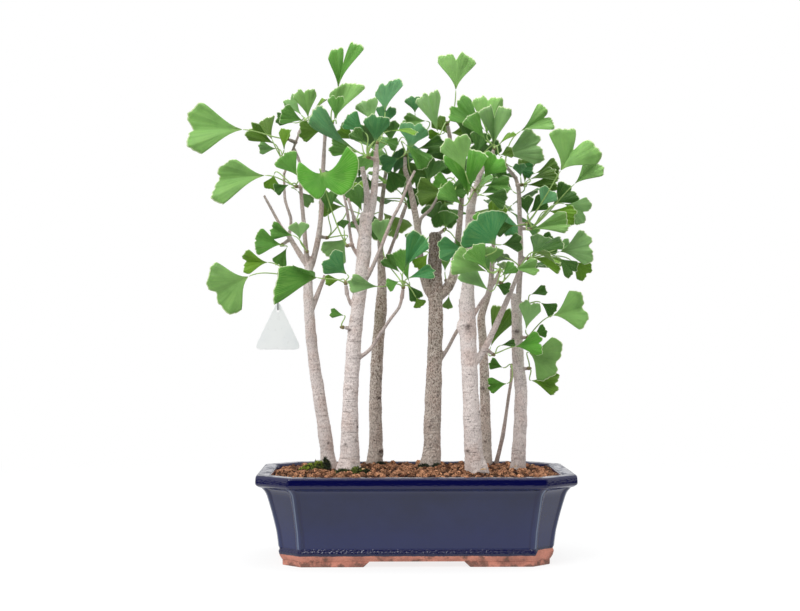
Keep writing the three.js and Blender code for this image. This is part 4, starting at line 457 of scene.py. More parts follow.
        (88.7, -22.9, 298.5, 159.5, -4.3, -106.8, 29.6, 1.04, "M"),
        (116.6, -34, 302.6, 343.9, 34, 99.7, 29.5, 1.89, "O"),
    )),
    "c1": ((-11.8, 58, 344.9), (-7.5, 64, 356.9), (
        (-19.1, 84.9, 363.7, 162.6, -59.6, -79.7, 27.2, 5.31, "D"),
        (-19.4, 54.1, 374.6, 144.7, 34.1, -87.2, 32.9, 1.2, "O"),
        (7.4, 73.2, 363, 358.2, -31.7, 113.4, 37.8, 0.86, "M"),
        (-31.4, 69, 365.1, 172.8, -11.6, -101.4, 38.4, 2.52, "D"),
    )),
    "c2": ((-34.3, 60.2, 340.5), (-42, 63, 341.1), (
        (-71.1, 68.1, 355.3, 146.3, -8.3, -70.2, 36.9, 0.04, "M"),
        (-43, 48.3, 347.9, 264.5, 55, 9.5, 38, 3.19, "D"),
        (-30.9, 74.7, 350, 315.6, -37, 140, 33.5, 2.97, "O"),
    )),
    "c3": ((-28.4, 62, 392.3), (-26.3, 62, 401.7), (
        (-37.7, 54.6, 413.5, 117.8, 16.9, -135.5, 33.6, 0.77, "D"),
        (-8.9, 54.3, 426.3, 307.5, 15, 64.2, 29.7, 3.39, "T"),
        (-35.5, 84.9, 411.6, 104.7, -32.5, -23.1, 37.1, 1.12, "D"),
        (-32.2, 50.6, 415.6, 233.7, 49.2, -43.3, 39.6, 1.36, "M"),
        (-13.3, 75.6, 408, 310.6, -34.3, 147, 36.2, 0.88, "o"),
        (-44, 62.5, 411.9, 229.2, -1.1, -102, 28.2, 4.53, "D"),
    )),
    "c4": ((-30.5, 62, 378.7), (-42, 72, 379.7), (
        (-48.4, 59.4, 388.3, 227.1, 53.2, -37.6, 30.3, 0.92, "D"),
        (-30.3, 75.3, 395.4, 328.6, -13.4, 110.1, 27.9, 4.35, "M"),
        (-66.1, 73.7, 384.1, 155.7, -3.6, -75.3, 31.6, 3.67, "D"),
        (-20.8, 62.8, 388.5, 65.6, 10.2, 128.8, 30.9, 0.26, "T"),
    )),
    "d7": ((49.8, 42, 371.6), (63.8, 50, 371.3), (
        (67.4, 37.6, 387.4, 81.4, 27.1, 144.4, 39.1, 4.94, "D"),
        (69.3, 65.1, 375.8, 66.2, -47.6, 20.5, 34.9, 4.23, "M"),
        (54.7, 37.7, 380.1, 223, 44.7, -50.7, 28.8, 5.49, "o"),
        (79.7, 51.9, 382.9, 18.5, -6.5, 85.9, 27.8, 2.02, "D"),
    )),
    "f1": ((80.5, 56.4, 277.3), (89.5, 60, 276.2), (
        (107, 50.3, 289.5, 13.2, 28.4, 87.1, 36.7, 2.98, "D"),
        (81.5, 75.8, 285.2, 108.3, -31.8, -27.2, 39.4, 3.53, "M"),
        (87.1, 41.1, 295.9, 107.3, 66.8, -148.2, 31, 4.66, "D"),
        (98.1, 77.2, 285.3, 45.7, -54.4, 29, 30, 4.87, "o"),
    )),
    "f2": ((84.3, 60, 330.5), (85.5, 62, 339), (
        (104.4, 66.5, 358.2, 36.9, -10.8, 91.9, 33.4, 3.71, "D"),
        (60.1, 62.2, 347.6, 173.9, -0.3, -103.5, 27.2, 5.08, "M"),
        (94.9, 39.5, 347.1, 289.1, 38.2, 49.2, 30.7, 4.86, "T"),
        (89.3, 78.5, 348.9, 74, -49.7, -4.1, 30.7, 4, "D"),
        (79.6, 53.3, 353.2, 210, 52.1, -69.5, 27.9, 2.12, "o"),
        (102.2, 70.3, 351.6, 327.3, -22.8, 89.7, 38.5, 1.83, "M"),
    )),
}

TAG_BOTTOM, TAG_APEX, TAG_HALF_WIDTH, TAG_CORNER, TAG_THICKNESS = 207.0, 253.0, 24.0, 4.0, 1.0
TAG_HOLE, TAG_HOLE_DROP, TAG_ROUNDING = 1.6, 7.0, 0.22
HANGER, HANGER_RADIUS = (-137.37, 1.09, 282.7), 0.8  # on the stalk that the tag hangs from
WIRE_RADIUS, WIRE_BEND, WIRE_SIDES = 0.5, 2.4, 12

# Moss cushions: x, y, half width, half depth, height, and how dark, from 0 to 1.
MOSS = (
    (-96, 3, 5, 4, 7.5, 0.3), (-103, 7, 5.5, 5, 5, 0.1), (-110, 4, 4.5, 4, 2.5, 0.3),
    (-89, 0, 3.5, 3, 9, 0.97), (-99, -4, 4, 3, 3, 0.6), (-106, 12, 4, 4, 3.5, 0.9),
    (-71, -38, 7, 3.5, 2.4, 0.9), (-58, -36, 5, 4, 4, 0.75), (-50, -33, 4, 3, 2.4, 0.95),
    (10, 23, 4.5, 3, 1.8, 1), (24, 24, 4, 3, 2.2, 1), (-34, 49, 4, 3, 2.2, 1),
)
MOSS_RINGS, MOSS_SIDES, MOSS_SUNK = 7, 24, 1.5
# Dry flakes on the soil: x, y, length, width, turn in degrees.
FLAKES = (
    (-51, -42, 8, 2.6, 70), (66, -46, 7, 3, 20), (-30, -20, 4, 1.4, 130), (101, -8, 5, 1.6, 40),
    (5, -30, 4, 1.2, 10), (120, 20, 5, 1.8, 60),
)
FLAKE_LIFT, FLAKE_ARCH, FLAKE_HALF_THICKNESS = 2.4, 0.8, 0.25

# The stage, m. Lamps: name, place, size, and share of the key light's power.
FLOOR_RADIUS = 9.0
LAMPS = (("key", (-1.0, -1.4, 1.7), 1.5, 1.0), ("top", (0.5, 0.2, 2.0), 1.6, 0.5))
LAMPS_AIM = (0, 0, 0.25)
# The room is dark only low on the side of the camera: axis, where it is dark, where it is bright.
ROOM = (("Y", -0.97, -0.2), ("Z", 0.2, 0.75))


def linear(red, green, blue):
    """A colour for the shaders from its display values, 0 to 255."""
    def channel(value):
        value /= 255
        return value / 12.92 if value <= 0.04045 else ((value + 0.055) / 1.055) ** 2.4
    return channel(red), channel(green), channel(blue)


# -------------------- settings

def colour_setting(name, description, *display):
    """A colour that a user may change. Its default is given as display values."""
    return bpy.props.FloatVectorProperty(
        name=name, description=description, subtype="COLOR", size=3, min=0, max=1,
        default=linear(*display))


class PotSettings(bpy.types.PropertyGroup):
    glaze: colour_setting("Glaze", "Colour of the glaze where it lies thick", 3, 5, 60)
    glaze_thin: colour_setting("Thin glaze", "Colour of the glaze on the wall and its edges", 22, 32, 74)
    clay: colour_setting("Clay", "Colour of the bare foot", 202, 132, 112)
    glaze_line: bpy.props.FloatProperty(
        name="Glaze line", description="Height at which the glaze ends", default=0.0108, unit="LENGTH")
    bead_height: bpy.props.FloatProperty(
        name="Bead height", description="Rise of the beads on the corners", default=0.0015,
        unit="LENGTH")
    net: colour_setting("Drain net", "Colour of the nets over the drain holes", 40, 42, 44)


class SoilSettings(bpy.types.PropertyGroup):
    granule: bpy.props.FloatProperty(
        name="Granule", description="Mean size of a granule", default=0.0062, unit="LENGTH")
    spacing: bpy.props.FloatProperty(
        name="Spacing", description="Least distance between granules", default=0.0040, unit="LENGTH")
    light: colour_setting("Light granules", "Colour of the driest granules", 212, 154, 116)
    # The dark colour also paints shade: on the lowest granules and on the bed seen between them.
    dark: colour_setting("Dark granules", "Colour of the dampest granules", 44, 26, 18)
    moss: colour_setting("Moss", "Colour of fresh moss", 156, 178, 50)
    moss_dark: colour_setting("Old moss", "Colour of old moss", 30, 44, 34)
    straw: colour_setting("Straw", "Colour of the dry flakes", 214, 180, 128)


class BarkSettings(bpy.types.PropertyGroup):
    detail: bpy.props.FloatProperty(
        name="Detail", description="Size of the smallest faces of the wood", default=0.0009,
        unit="LENGTH")
    pale: colour_setting("Pale bark", "Colour of the front stems", 236, 224, 220)
    brown: colour_setting("Brown bark", "Colour of the back stems", 202, 188, 176)
    twig: colour_setting("Twigs", "Colour of the thin wood", 192, 178, 172)
    # The scar colour also paints the shade under the crown at the top of stem d.
    scar_and_shade: colour_setting("Scars", "Colour of knots and flecks", 58, 45, 38)
    cut: colour_setting("Cut wood", "Colour of the sawn tops", 120, 106, 96)
    relief: bpy.props.FloatProperty(
        name="Relief", description="Height of the lumps in the bark", default=0.00042, unit="LENGTH")


class LeafSettings(bpy.types.PropertyGroup):
    # Several of these are lit and shaded copies of one green: bright, middle and dark paint leaves in
    # full light, half light and the crown's shade, olive and dark olive paint light shining through, and
    # teal and bluish are partly a painted sheen.
    bright: colour_setting("Bright", "Young leaves in full light", 84, 160, 48)
    light: colour_setting("Light", "Light green leaves", 122, 170, 92)
    pale: colour_setting("Pale", "Pale leaves", 128, 172, 108)
    middle: colour_setting("Middle", "Leaves in half light", 78, 138, 52)
    teal: colour_setting("Teal", "Cool green leaves", 42, 120, 72)
    bluish: colour_setting("Bluish", "Leaves with a bluish bloom", 82, 142, 98)
    dark: colour_setting("Dark", "Leaves in the crown", 38, 92, 26)
    olive: colour_setting("Olive", "Leaves with light through them", 100, 146, 22)
    dark_olive: colour_setting("Dark olive", "Shaded leaves with light through them", 66, 102, 14)
    margin: colour_setting("Margin", "The thin line round each blade", 222, 238, 190)
    stalk: colour_setting("Stalk", "Colour of the leaf stalks", 160, 192, 108)
    bud: colour_setting("Bud", "Colour of the buds", 154, 142, 96)
    thickness: bpy.props.FloatProperty(
        name="Thickness", description="Thickness of a blade", default=0.00034, unit="LENGTH")
    stalk_radius: bpy.props.FloatProperty(
        name="Stalk radius", description="Radius of a leaf stalk", default=0.00072, unit="LENGTH")
    veins: bpy.props.IntProperty(
        name="Veins", description="Main veins across a blade", default=26, min=4)
    columns: bpy.props.IntProperty(name="Columns", description="Faces across a blade", default=42, min=8)
    rows: bpy.props.IntProperty(name="Rows", description="Faces along a blade", default=8, min=3)


class TagSettings(bpy.types.PropertyGroup):
    plastic: colour_setting("Plastic", "Colour of the hang tag", 240, 243, 242)
    wire: colour_setting("Wire", "Colour of the tag's tie", 46, 44, 46)


class StageSettings(bpy.types.PropertyGroup):
    focal_length: bpy.props.FloatProperty(
        name="Focal length", description="Of the camera, in mm for a 36 mm frame", default=69.0)
    camera_place: bpy.props.FloatVectorProperty(
        name="Camera", description="Place of the camera", subtype="TRANSLATION", unit="LENGTH",
        default=(-0.025, -1.546, 0.223))
    camera_turn: bpy.props.FloatProperty(
        name="Turn", description="Turn of the camera to the right", default=1.009 * DEG, unit="ROTATION")
    camera_tilt: bpy.props.FloatProperty(
        name="Tilt", description="Tilt of the camera upwards", default=1.046 * DEG, unit="ROTATION")
    surroundings: bpy.props.FloatProperty(
        name="Surroundings", description="Strength of the soft light from all sides", default=1.0)
    key: bpy.props.FloatProperty(
        name="Key light", description="Power of the large soft light, in watts", default=32.0)


SETTINGS = {
    "bonsai_pot": PotSettings, "bonsai_soil": SoilSettings, "bonsai_bark": BarkSettings,
    "bonsai_leaf": LeafSettings, "bonsai_tag": TagSettings, "bonsai_stage": StageSettings,
}


# -------------------- node trees

class Value:
    """A socket of a node tree. Sums on it add Math nodes to the tree."""

    def __init__(self, nodes, socket):
        self.nodes = nodes
        self.socket = socket

    def math(self, operation, *values):
        return self.nodes.add("ShaderNodeMath", {"operation": operation}, dict(enumerate(values)))

    def __add__(self, other):
        return self.math("ADD", self, other)

    def __sub__(self, other):
        return self.math("SUBTRACT", self, other)

    def __rsub__(self, other):
        return self.math("SUBTRACT", other, self)

    def __mul__(self, other):
        return self.math("MULTIPLY", self, other)

    def __abs__(self):
        return self.math("ABSOLUTE", self)

    def larger(self, other):
        return self.math("MAXIMUM", self, other)

    def sine(self):
        return self.math("SINE", self)

    __radd__ = __add__
    __rmul__ = __mul__


class Nodes:
    """Adds nodes to a tree."""

    def __init__(self, tree):
        self.tree = tree

    def add(self, kind, settings=None, inputs=None, output=0):
        """Adds a node: its settings first, then the values or links of its sockets."""
        node = self.tree.nodes.new(kind)
        for name, value in (settings or {}).items():
            setattr(node, name, value)
        for key, value in (inputs or {}).items():
            self.put(node.inputs[key], value)
        return Value(self, node.outputs[output])

    def put(self, socket, value):
        """Links a value to a socket, or sets the socket to a number, colour or vector."""
        if isinstance(value, Value):
            self.tree.links.new(value.socket, socket)
        else:
            socket.default_value = value


class Finish(Nodes):
    """A material: its fixed values are set on the shader, the rest comes from nodes."""

    def __init__(self, name, **fixed):
        self.material = bpy.data.materials.new(name)
        self.material.use_nodes = True
        super().__init__(self.material.node_tree)
        self.shader = self.tree.nodes["Principled BSDF"]
        for socket, value in fixed.items():
            self.shader.inputs[socket.replace("_", " ")].default_value = value

    def vary(self, **inputs):
        """Feeds what changes over the surface to the shader."""
        for socket, value in inputs.items():
            self.put(self.shader.inputs[socket.replace("_", " ")], value)

    def place(self, stretch=(1, 1, 1)):
        """Object coordinates, stretched."""
        place = self.add("ShaderNodeTexCoord", output="Object")
        return self.add("ShaderNodeVectorMath", {"operation": "MULTIPLY"}, {0: place, 1: stretch})

    def height(self):
        return self.add("ShaderNodeSeparateXYZ", inputs={0: self.place()}, output="Z")

    def attribute(self, name, output="Fac"):
        return self.add("ShaderNodeAttribute", {"attribute_name": name}, output=output)

    def cloud(self, scale, stretch=(1, 1, 1), detail=3.0, rough=0.55, vector=None):
        """Soft noise from 0 to 1, `scale` lumps to a metre."""
        vector = vector or self.place(stretch)
        return self.add("ShaderNodeTexNoise", inputs={
            "Vector": vector, "Scale": scale, "Detail": detail, "Roughness": rough})

    def cells(self, scale, stretch=(1, 1, 1)):
        """Distance to the nearest of many strewn points, `scale` of them to a metre."""
        return self.add("ShaderNodeTexVoronoi", inputs={
            "Vector": self.place(stretch), "Scale": scale}, output="Distance")

    def rise(self, value, low, high, to_low=0.0, to_high=1.0):
        """A smooth rise from one value to another while the input goes from low to high."""
        return self.add("ShaderNodeMapRange", {"interpolation_type": "SMOOTHSTEP"}, {
            "Value": value, "From Min": low, "From Max": high, "To Min": to_low, "To Max": to_high})

    def blend(self, share, first, second):
        """The first colour where the share is 0, and the second where it is 1."""
        def rgba(colour):
            return colour if isinstance(colour, Value) else (*colour, 1)
        return self.add("ShaderNodeMix", {"data_type": "RGBA", "clamp_factor": True}, {
            0: share, 6: rgba(first), 7: rgba(second)}, output=2)

    def bump(self, height, distance, strength, normal=None):
        """Relief of the given distance, m, on top of another normal if there is one."""
        inputs = {"Height": height, "Distance": distance, "Strength": strength}
        if normal:
            inputs["Normal"] = normal
        return self.add("ShaderNodeBump", inputs=inputs)


class GrowthTree(Nodes):
    """A Geometry Nodes tree with named inputs, run once on a piece."""

    KINDS = {float: "NodeSocketFloat", int: "NodeSocketInt"}

    def __init__(self, name, values):
        super().__init__(bpy.data.node_groups.new(name, "GeometryNodeTree"))
        self.values = values
        interface = self.tree.interface
        interface.new_socket("Geometry", in_out="INPUT", socket_type="NodeSocketGeometry")
        for key, value in values.items():
            interface.new_socket(key, in_out="INPUT", socket_type=self.KINDS[type(value)])
        interface.new_socket("Geometry", in_out="OUTPUT", socket_type="NodeSocketGeometry")
        self.start = self.tree.nodes.new("NodeGroupInput")

    def given(self, name):
        """One of the tree's named inputs."""
        return Value(self, self.start.outputs[name])

    def end(self, geometry, material):
        """Ends the tree in real faces with their finish."""
        whole = self.add("GeometryNodeRealizeInstances", inputs={"Geometry": geometry})
        finished = self.add("GeometryNodeSetMaterial", inputs={"Geometry": whole, "Material": material})
        out = self.tree.nodes.new("NodeGroupOutput")
        self.tree.links.new(finished.socket, out.inputs[0])

    def random(self, low, high, seed):
        """A random number for each item, or three of them where low is a tuple."""
        if isinstance(low, tuple):
            return self.add("FunctionNodeRandomValue", {"data_type": "FLOAT_VECTOR"},
                            {0: low, 1: high, "Seed": seed})
        return self.add("FunctionNodeRandomValue", {"data_type": "FLOAT"},
                        {2: low, 3: high, "Seed": seed}, output=1)

    def grow(self, piece):
        """Runs the tree on a piece and leaves the result as the piece's own mesh."""
        modifier = piece.modifiers.new(self.tree.name, "NODES")
        modifier.node_group = self.tree
        sockets = {item.name: item.identifier for item in self.tree.interface.items_tree
                   if item.in_out == "INPUT"}
        for key, value in self.values.items():
            modifier[sockets[key]] = value
        settle(piece)


# -------------------- meshes

def settle(piece):
    """Turns what a piece's modifiers make into its own plain mesh."""
    depsgraph = bpy.context.evaluated_depsgraph_get()
    mesh = bpy.data.meshes.new_from_object(
        piece.evaluated_get(depsgraph), preserve_all_data_layers=True, depsgraph=depsgraph)
    piece.modifiers.clear()
    old = piece.data
    piece.data = mesh
    bpy.data.meshes.remove(old)
    mesh.name = piece.name


def new_piece(name, mesh):
    """An object at the origin, in the scene."""
    piece = bpy.data.objects.new(name, mesh)
    bpy.context.scene.collection.objects.link(piece)
    return piece


def dress(piece, slot, *nodes):
    """Fixes a piece to the part and lets it stand for its CAD nodes. The slot is not used."""
    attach(piece, "root")
    if nodes:
        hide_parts(*nodes)


def mark(mesh, name, values):
    """Stores a number for each point of a mesh, for its finish to read."""
    mesh.attributes.new(name, "FLOAT", "POINT").data.foreach_set("value", values)


def mark_colour(mesh, name, colours):
    """Stores a colour for each point of a mesh, for its finish to read."""
    layer = mesh.attributes.new(name, "FLOAT_COLOR", "POINT")
    layer.data.foreach_set("color", np.c_[colours, np.ones(len(colours))].ravel())


def weld(piece, turn_outwards=False):
    """Merges a piece's doubled points and, where asked, turns its faces outwards."""
    shell = bmesh.new()
    shell.from_mesh(piece.data)
    bmesh.ops.remove_doubles(shell, verts=shell.verts, dist=1e-7)
    if turn_outwards:
        bmesh.ops.recalc_face_normals(shell, faces=shell.faces)
    shell.to_mesh(piece.data)
    shell.free()


def progress(value, low, high):
    """How far a value has come from low to high, from 0 to 1."""
    return min(max((value - low) / (high - low), 0), 1)


class Skin:
    """Points and faces of one piece, gathered part by part, in mm from the pot's middle."""

    def __init__(self):
        self.points, self.faces, self.looks, self.tints, self.uvs = [], [], [], [], []
        self.count = 0

    def add(self, points, faces, look=0, tint=(1, 1, 1), uv=None):
        """Adds a part. Its faces count from 0, and `look` is the place of its finish."""
        points = np.asarray(points, float).reshape(-1, 3)
        self.points.append(points)
        self.faces += [[self.count + i for i in face] for face in faces]
        self.looks += [look] * len(faces)
        self.tints.append(np.broadcast_to(tint, (len(points), 3)))
        self.uvs.append(np.zeros((len(points), 2)) if uv is None else uv)
        self.count += len(points)

    def piece(self, name, materials, tinted=False):
        """The gathered parts as one piece. A tinted one keeps its tints and its UV map."""
        mesh = bpy.data.meshes.new(name)
        points = (np.concatenate(self.points) + POT_PLACE) * MM
        mesh.from_pydata(points.tolist(), [], self.faces)
        for material in materials:
            mesh.materials.append(material)
        mesh.polygons.foreach_set("material_index", self.looks)
        mesh.polygons.foreach_set("use_smooth", [True] * len(self.faces))
        if tinted:
            corner_points = np.zeros(len(mesh.loops), int)
            mesh.loops.foreach_get("vertex_index", corner_points)
            layer = mesh.uv_layers.new(name="blade")
            layer.data.foreach_set("uv", np.concatenate(self.uvs)[corner_points].ravel())
            mark_colour(mesh, "tint", np.concatenate(self.tints))
        mesh.update()
        return new_piece(name, mesh)


def smooth_path(points, spacing, tightness=0.35):
    """Points about `spacing` apart on a smooth curve through the given ones, radii and all."""
    points = np.asarray(points, float)
    ahead = np.vstack([points[1:], points[-1:]])
    behind = np.vstack([points[:1], points[:-1]])
    leaving = (ahead - behind) * tightness
    path = []
    for i in range(len(points) - 1):
        a, b = points[i], points[i + 1]
        steps = max(int(math.ceil(np.linalg.norm((b - a)[:3]) / spacing)), 1)
        for t in np.arange(steps) / steps:
            path.append((2 * t**3 - 3 * t**2 + 1) * a + (t**3 - 2 * t**2 + t) * leaving[i]
                        + (3 * t**2 - 2 * t**3) * b + (t**3 - t**2) * leaving[i + 1])
    path.append(points[-1])
    return np.array(path)


def rings_along(path, radii, sides, side=(1.0, 0.0, 0.0)):
    """Rings of points round a path, without twist."""
    path = np.asarray(path, float)
    tangents = np.gradient(path, axis=0)
    tangents /= np.linalg.norm(tangents, axis=1)[:, None]
    angles = 2 * np.pi * np.arange(sides) / sides
    side = np.asarray(side, float)
    rings = []
    for point, tangent, radius in zip(path, tangents, radii):
        side = side - tangent * side.dot(tangent)
        side /= np.linalg.norm(side)
        other = np.cross(tangent, side)
        circle = np.outer(np.cos(angles), side) + np.outer(np.sin(angles), other)
        rings.append(point + radius * circle)
    return rings


def skin_of(rings, closed=True):
    """Points and faces of a skin through rings of equal count, with its ends closed."""
    count = len(rings[0])
    faces = []
    for r in range(len(rings) - 1):
        for i in range(count):
            j = (i + 1) % count
            a, b = r * count, (r + 1) * count
            faces.append((a + i, a + j, b + j, b + i))
    if closed:
        last = (len(rings) - 1) * count
        faces.append(tuple(reversed(range(count))))
        faces.append(tuple(range(last, last + count)))
    return np.concatenate(rings), faces


# -------------------- pot

def plan_size(inset):
    """Half width, half depth and corner cut of the pot's plan, moved in by `inset`."""
    return (POT_HALF_WIDTH - inset, POT_HALF_DEPTH - inset,
            CORNER_CUT - inset * (2 - math.sqrt(2)))


def plan_corners(inset):
    """Corners of the pot's plan, moved in by `inset`, from the right front round to it."""
    a, b, cut = plan_size(inset)
    return np.array([(a, -b + cut), (a, b - cut), (a - cut, b), (-a + cut, b),
                     (-a, b - cut), (-a, -b + cut), (-a + cut, -b), (a - cut, -b)])


def edge_outward(a, b):
    """The way out of the plan, square to its edge from a to b."""
    return np.array((b[1] - a[1], a[0] - b[0])) / np.linalg.norm(b - a)


def bead_rise(near, bead, radius):
    """How far a round bead on a corner stands out of the wall, `near` mm from the corner."""
    sunk = radius - bead
    chord = radius**2 - (near - sunk * math.sin(CORNER_TURN / 2)) ** 2
    stands = max(math.sqrt(max(chord, 0)) - sunk * math.cos(CORNER_TURN / 2), 0)
    return stands * min(bead / BEAD_FULL, 1)


def plan_ring(inset, height, bead=0.0, bead_radius=BEAD_RADIUS):
    """A level ring of the plan with softened corners. Round beads stand `bead` out of them."""
    corners = plan_corners(inset)
    ring = []
    for i in range(8):
        before, a, b = corners[i - 1], corners[i], corners[(i + 1) % 8]
        length = np.linalg.norm(b - a)
        along = (b - a) / length
        outward = edge_outward(a, b)
        at_corner = outward + edge_outward(before, a)
        ring.append((*(a + at_corner / np.linalg.norm(at_corner) * (bead - SOFT_CORNER)), height))
        places = [*NEAR_CORNER, *(length * share for share in MID_EDGE)]
        places += [length - d for d in reversed(NEAR_CORNER)]
        for place in places:
            near = min(place, length - place)
            soften = SOFT_EDGE * max(1 - near / SOFT_REACH, 0) ** 2
            out = bead_rise(near, bead, bead_radius) - soften
            ring.append((*(a + along * place + outward * out), height))
    return np.array(ring)


def pot_foot(x_sign, y_sign):
    """One foot: a strip round a corner of the plan, with sloping ends."""
    sections = []
    for inset in (FOOT_INSET, FOOT_INSET + FOOT_WIDTH):
        a, b, cut = plan_size(inset)
        for height, slope in ((0.0, FOOT_SLOPE), (FLOOR_UNDERSIDE + FOOT_OVERLAP, -1.0)):
            line = ((FRONT_GAP + slope, -b), (a - cut, -b), (a, -b + cut), (a, -SIDE_GAP - slope))
            sections.append([(x_sign * x, -y_sign * y, height) for x, y in line])
    outer_low, outer_high, inner_low, inner_high = sections
    rings = [np.array(ring) for ring in zip(outer_low, outer_high, inner_high, inner_low)]
    return skin_of(rings)


def glaze_finish(settings):
    """Thick cobalt glaze that ends in an uneven line above the bare clay."""
    finish = Finish("cobalt_glaze", IOR=1.52)
    centred = finish.add("ShaderNodeVectorMath", {"operation": "SUBTRACT"}, {
        0: finish.place(), 1: tuple(POT_PLACE * MM)})
    x, y, height = (
        finish.add("ShaderNodeSeparateXYZ", inputs={0: centred}, output=axis) for axis in "XYZ")
    ragged = finish.cloud(90, detail=2) * 0.0016
    missed = finish.rise(x, *MISSED_X) * finish.rise(y, *MISSED_Y)
    above = height + ragged - missed * MISSED_RISE
    glazed = finish.rise(above, settings.glaze_line + 0.0004, settings.glaze_line + 0.0012)
    lip = finish.rise(height, *LIP_LINE)
    ridge = finish.rise(height, *RIDGE_LINE)
    rim = finish.rise(height, *RIM_LINE)
    thick = lip.larger(ridge)

    # The glaze pools beside the beads, at the corners of a plan that widens with the height.
    # `beside` is the distance along the wall from its nearest corner. Across a cut face x and y
    # both change, so it is 0.707 of the way past the corner.
    askew = abs(x) - abs(y) - (POT_HALF_WIDTH - POT_HALF_DEPTH) * MM
    past_corner = abs(askew) - (height * height * CORNER_FLARE + CORNER_AT_FOOT)
    beside = past_corner.larger(past_corner * -0.707)
    pool = finish.rise(beside, 0.0034, 0.0041) * finish.rise(beside, 0.0062, 0.0048)
    raised = finish.rise(beside, 0.0036, 0.0020)

    clouding = finish.cloud(26, detail=4)
    wall = finish.blend(finish.rise(clouding, 0.3, 0.75), settings.glaze_thin,
                        [c * 0.72 for c in settings.glaze_thin])
    wall = finish.blend(finish.rise(height, 0.055, 0.020) * 0.5, wall, linear(16, 28, 84))
    wall = finish.blend(pool * 0.55, wall, settings.glaze)
    # The glaze breaks lighter over the beads; the same band also paints a soft sheen on them.
    wall = finish.blend(raised * 0.12, wall, linear(78, 92, 120))
    # Painted highlight: a thin light line along the crest of each bead.
    crest_highlight = finish.rise(beside, 0.0011, 0.0003)
    wall = finish.blend(crest_highlight * 0.45, wall, linear(134, 148, 168))
    glaze = finish.blend(thick, wall, settings.glaze)

    pooled = finish.rise(above, settings.glaze_line + 0.0012, settings.glaze_line + 0.005)
    glaze = finish.blend(pooled, [c * 0.6 for c in settings.glaze_thin], glaze)
    film = finish.rise(finish.cloud(130, detail=4), 0.5, 0.62) * rim
    glaze = finish.blend(film * 0.2, glaze, linear(120, 126, 112))

    grit = finish.cloud(1500, detail=2)
    worn = finish.cloud(52, detail=5, rough=0.65)
    clay = finish.blend(finish.rise(worn, 0.4, 0.62) * 0.8, settings.clay, linear(154, 98, 84))
    # Mottled darker brown on the clay, more of it towards the bottom of the foot.
    browner_below = finish.rise(finish.cloud(120, detail=4) - height * 22, 0.34, 0.52)
    clay = finish.blend(browner_below * 0.85, clay, linear(98, 70, 60))
    clay = finish.blend(finish.rise(grit, 0.6, 0.72) * 0.5, clay, linear(96, 64, 54))
    clay = finish.blend(finish.rise(grit, 0.4, 0.3) * 0.4, clay, linear(226, 182, 164))

    finish.vary(Base_Color=finish.blend(glazed, clay, glaze))
    roughness = finish.rise(glazed, 0, 1, 0.8, 0.09) + finish.cloud(70) * 0.05 + film * 0.5
    finish.vary(Roughness=roughness)
    gritty = finish.bump(grit * (1 - glazed) + worn * (1 - glazed), 0.0005, 0.6)
    uneven = finish.cloud(380, (1, 1, 1.6), detail=1) * (ridge + lip * 0.2)
    uneven = uneven + finish.cloud(150, detail=2) * rim * 1.2
    beaded = finish.bump(uneven * glazed, 0.0016, 0.5, gritty)
    finish.vary(Normal=finish.bump(finish.cloud(34, detail=1), 0.0012, 0.12, beaded))
    return finish.material


class BONSAI_OT_pot(bpy.types.Operator):
    """Makes the glazed pot on its four feet"""
    bl_idname = "bonsai.pot"
    bl_label = "Pot"

    def execute(self, context):
        settings = context.scene.bonsai_pot
        outer = smooth_path([(inset, 0, z) for inset, z in OUTER_WALL], 1.6, 0.3)
        inner = smooth_path([(inset, 0, z) for inset, z in INNER_WALL], 3.0, 0.3)
        rings = [plan_ring(OUTER_WALL[0][0], FLOOR_UNDERSIDE) * (share, share, 1)
                 for share in reversed(FLOOR_RINGS)]
        for inset, _, z in outer:
            bead = settings.bead_height / MM * (progress(z, *BEAD_START) * progress(z, *BEAD_END))
            radius = BEAD_RADIUS + BEAD_WIDENING * progress(z, *BEAD_WIDENS) ** 2
            rings.append(plan_ring(inset, z, bead, radius))
        rings += [plan_ring(inset, z) for inset, _, z in inner]
        rings += [plan_ring(INNER_WALL[-1][0], FLOOR_TOP) * (share, share, 1)
                  for share in FLOOR_RINGS]
        skin = Skin()
        skin.add(*skin_of(rings))
        pot = skin.piece("glazed_pot", [glaze_finish(settings)])
        for x in (-DRAIN_X, DRAIN_X):
            drill = Skin()
            ends = [(x, 0, -2), (x, 0, FLOOR_TOP + 8)]
            drill.add(*skin_of(rings_along(ends, [DRAIN_RADIUS] * 2, DRAIN_SIDES)))
            tool = drill.piece("drill", [])
            cut = pot.modifiers.new("drain", "BOOLEAN")
            cut.operation, cut.solver, cut.object = "DIFFERENCE", "EXACT", tool
            settle(pot)
            bpy.data.objects.remove(tool)
        feet = Skin()
        for x_sign in (-1, 1):
            for y_sign in (-1, 1):
                feet.add(*pot_foot(x_sign, y_sign))
        foot = feet.piece("feet", [])
        shell = bmesh.new()
        shell.from_mesh(foot.data)
        bmesh.ops.recalc_face_normals(shell, faces=shell.faces)
        bmesh.ops.bevel(shell, geom=shell.edges, offset=0.0009, segments=3, profile=0.6,
                        affect="EDGES")
        for face in shell.faces:
            face.smooth = True
        shell.from_mesh(pot.data)
        shell.to_mesh(pot.data)
        shell.free()
        bpy.data.objects.remove(foot)
        pot.data.set_sharp_from_angle(angle=50 * DEG)
        dress(pot, "pot_glaze", "pot")
        return {"FINISHED"}


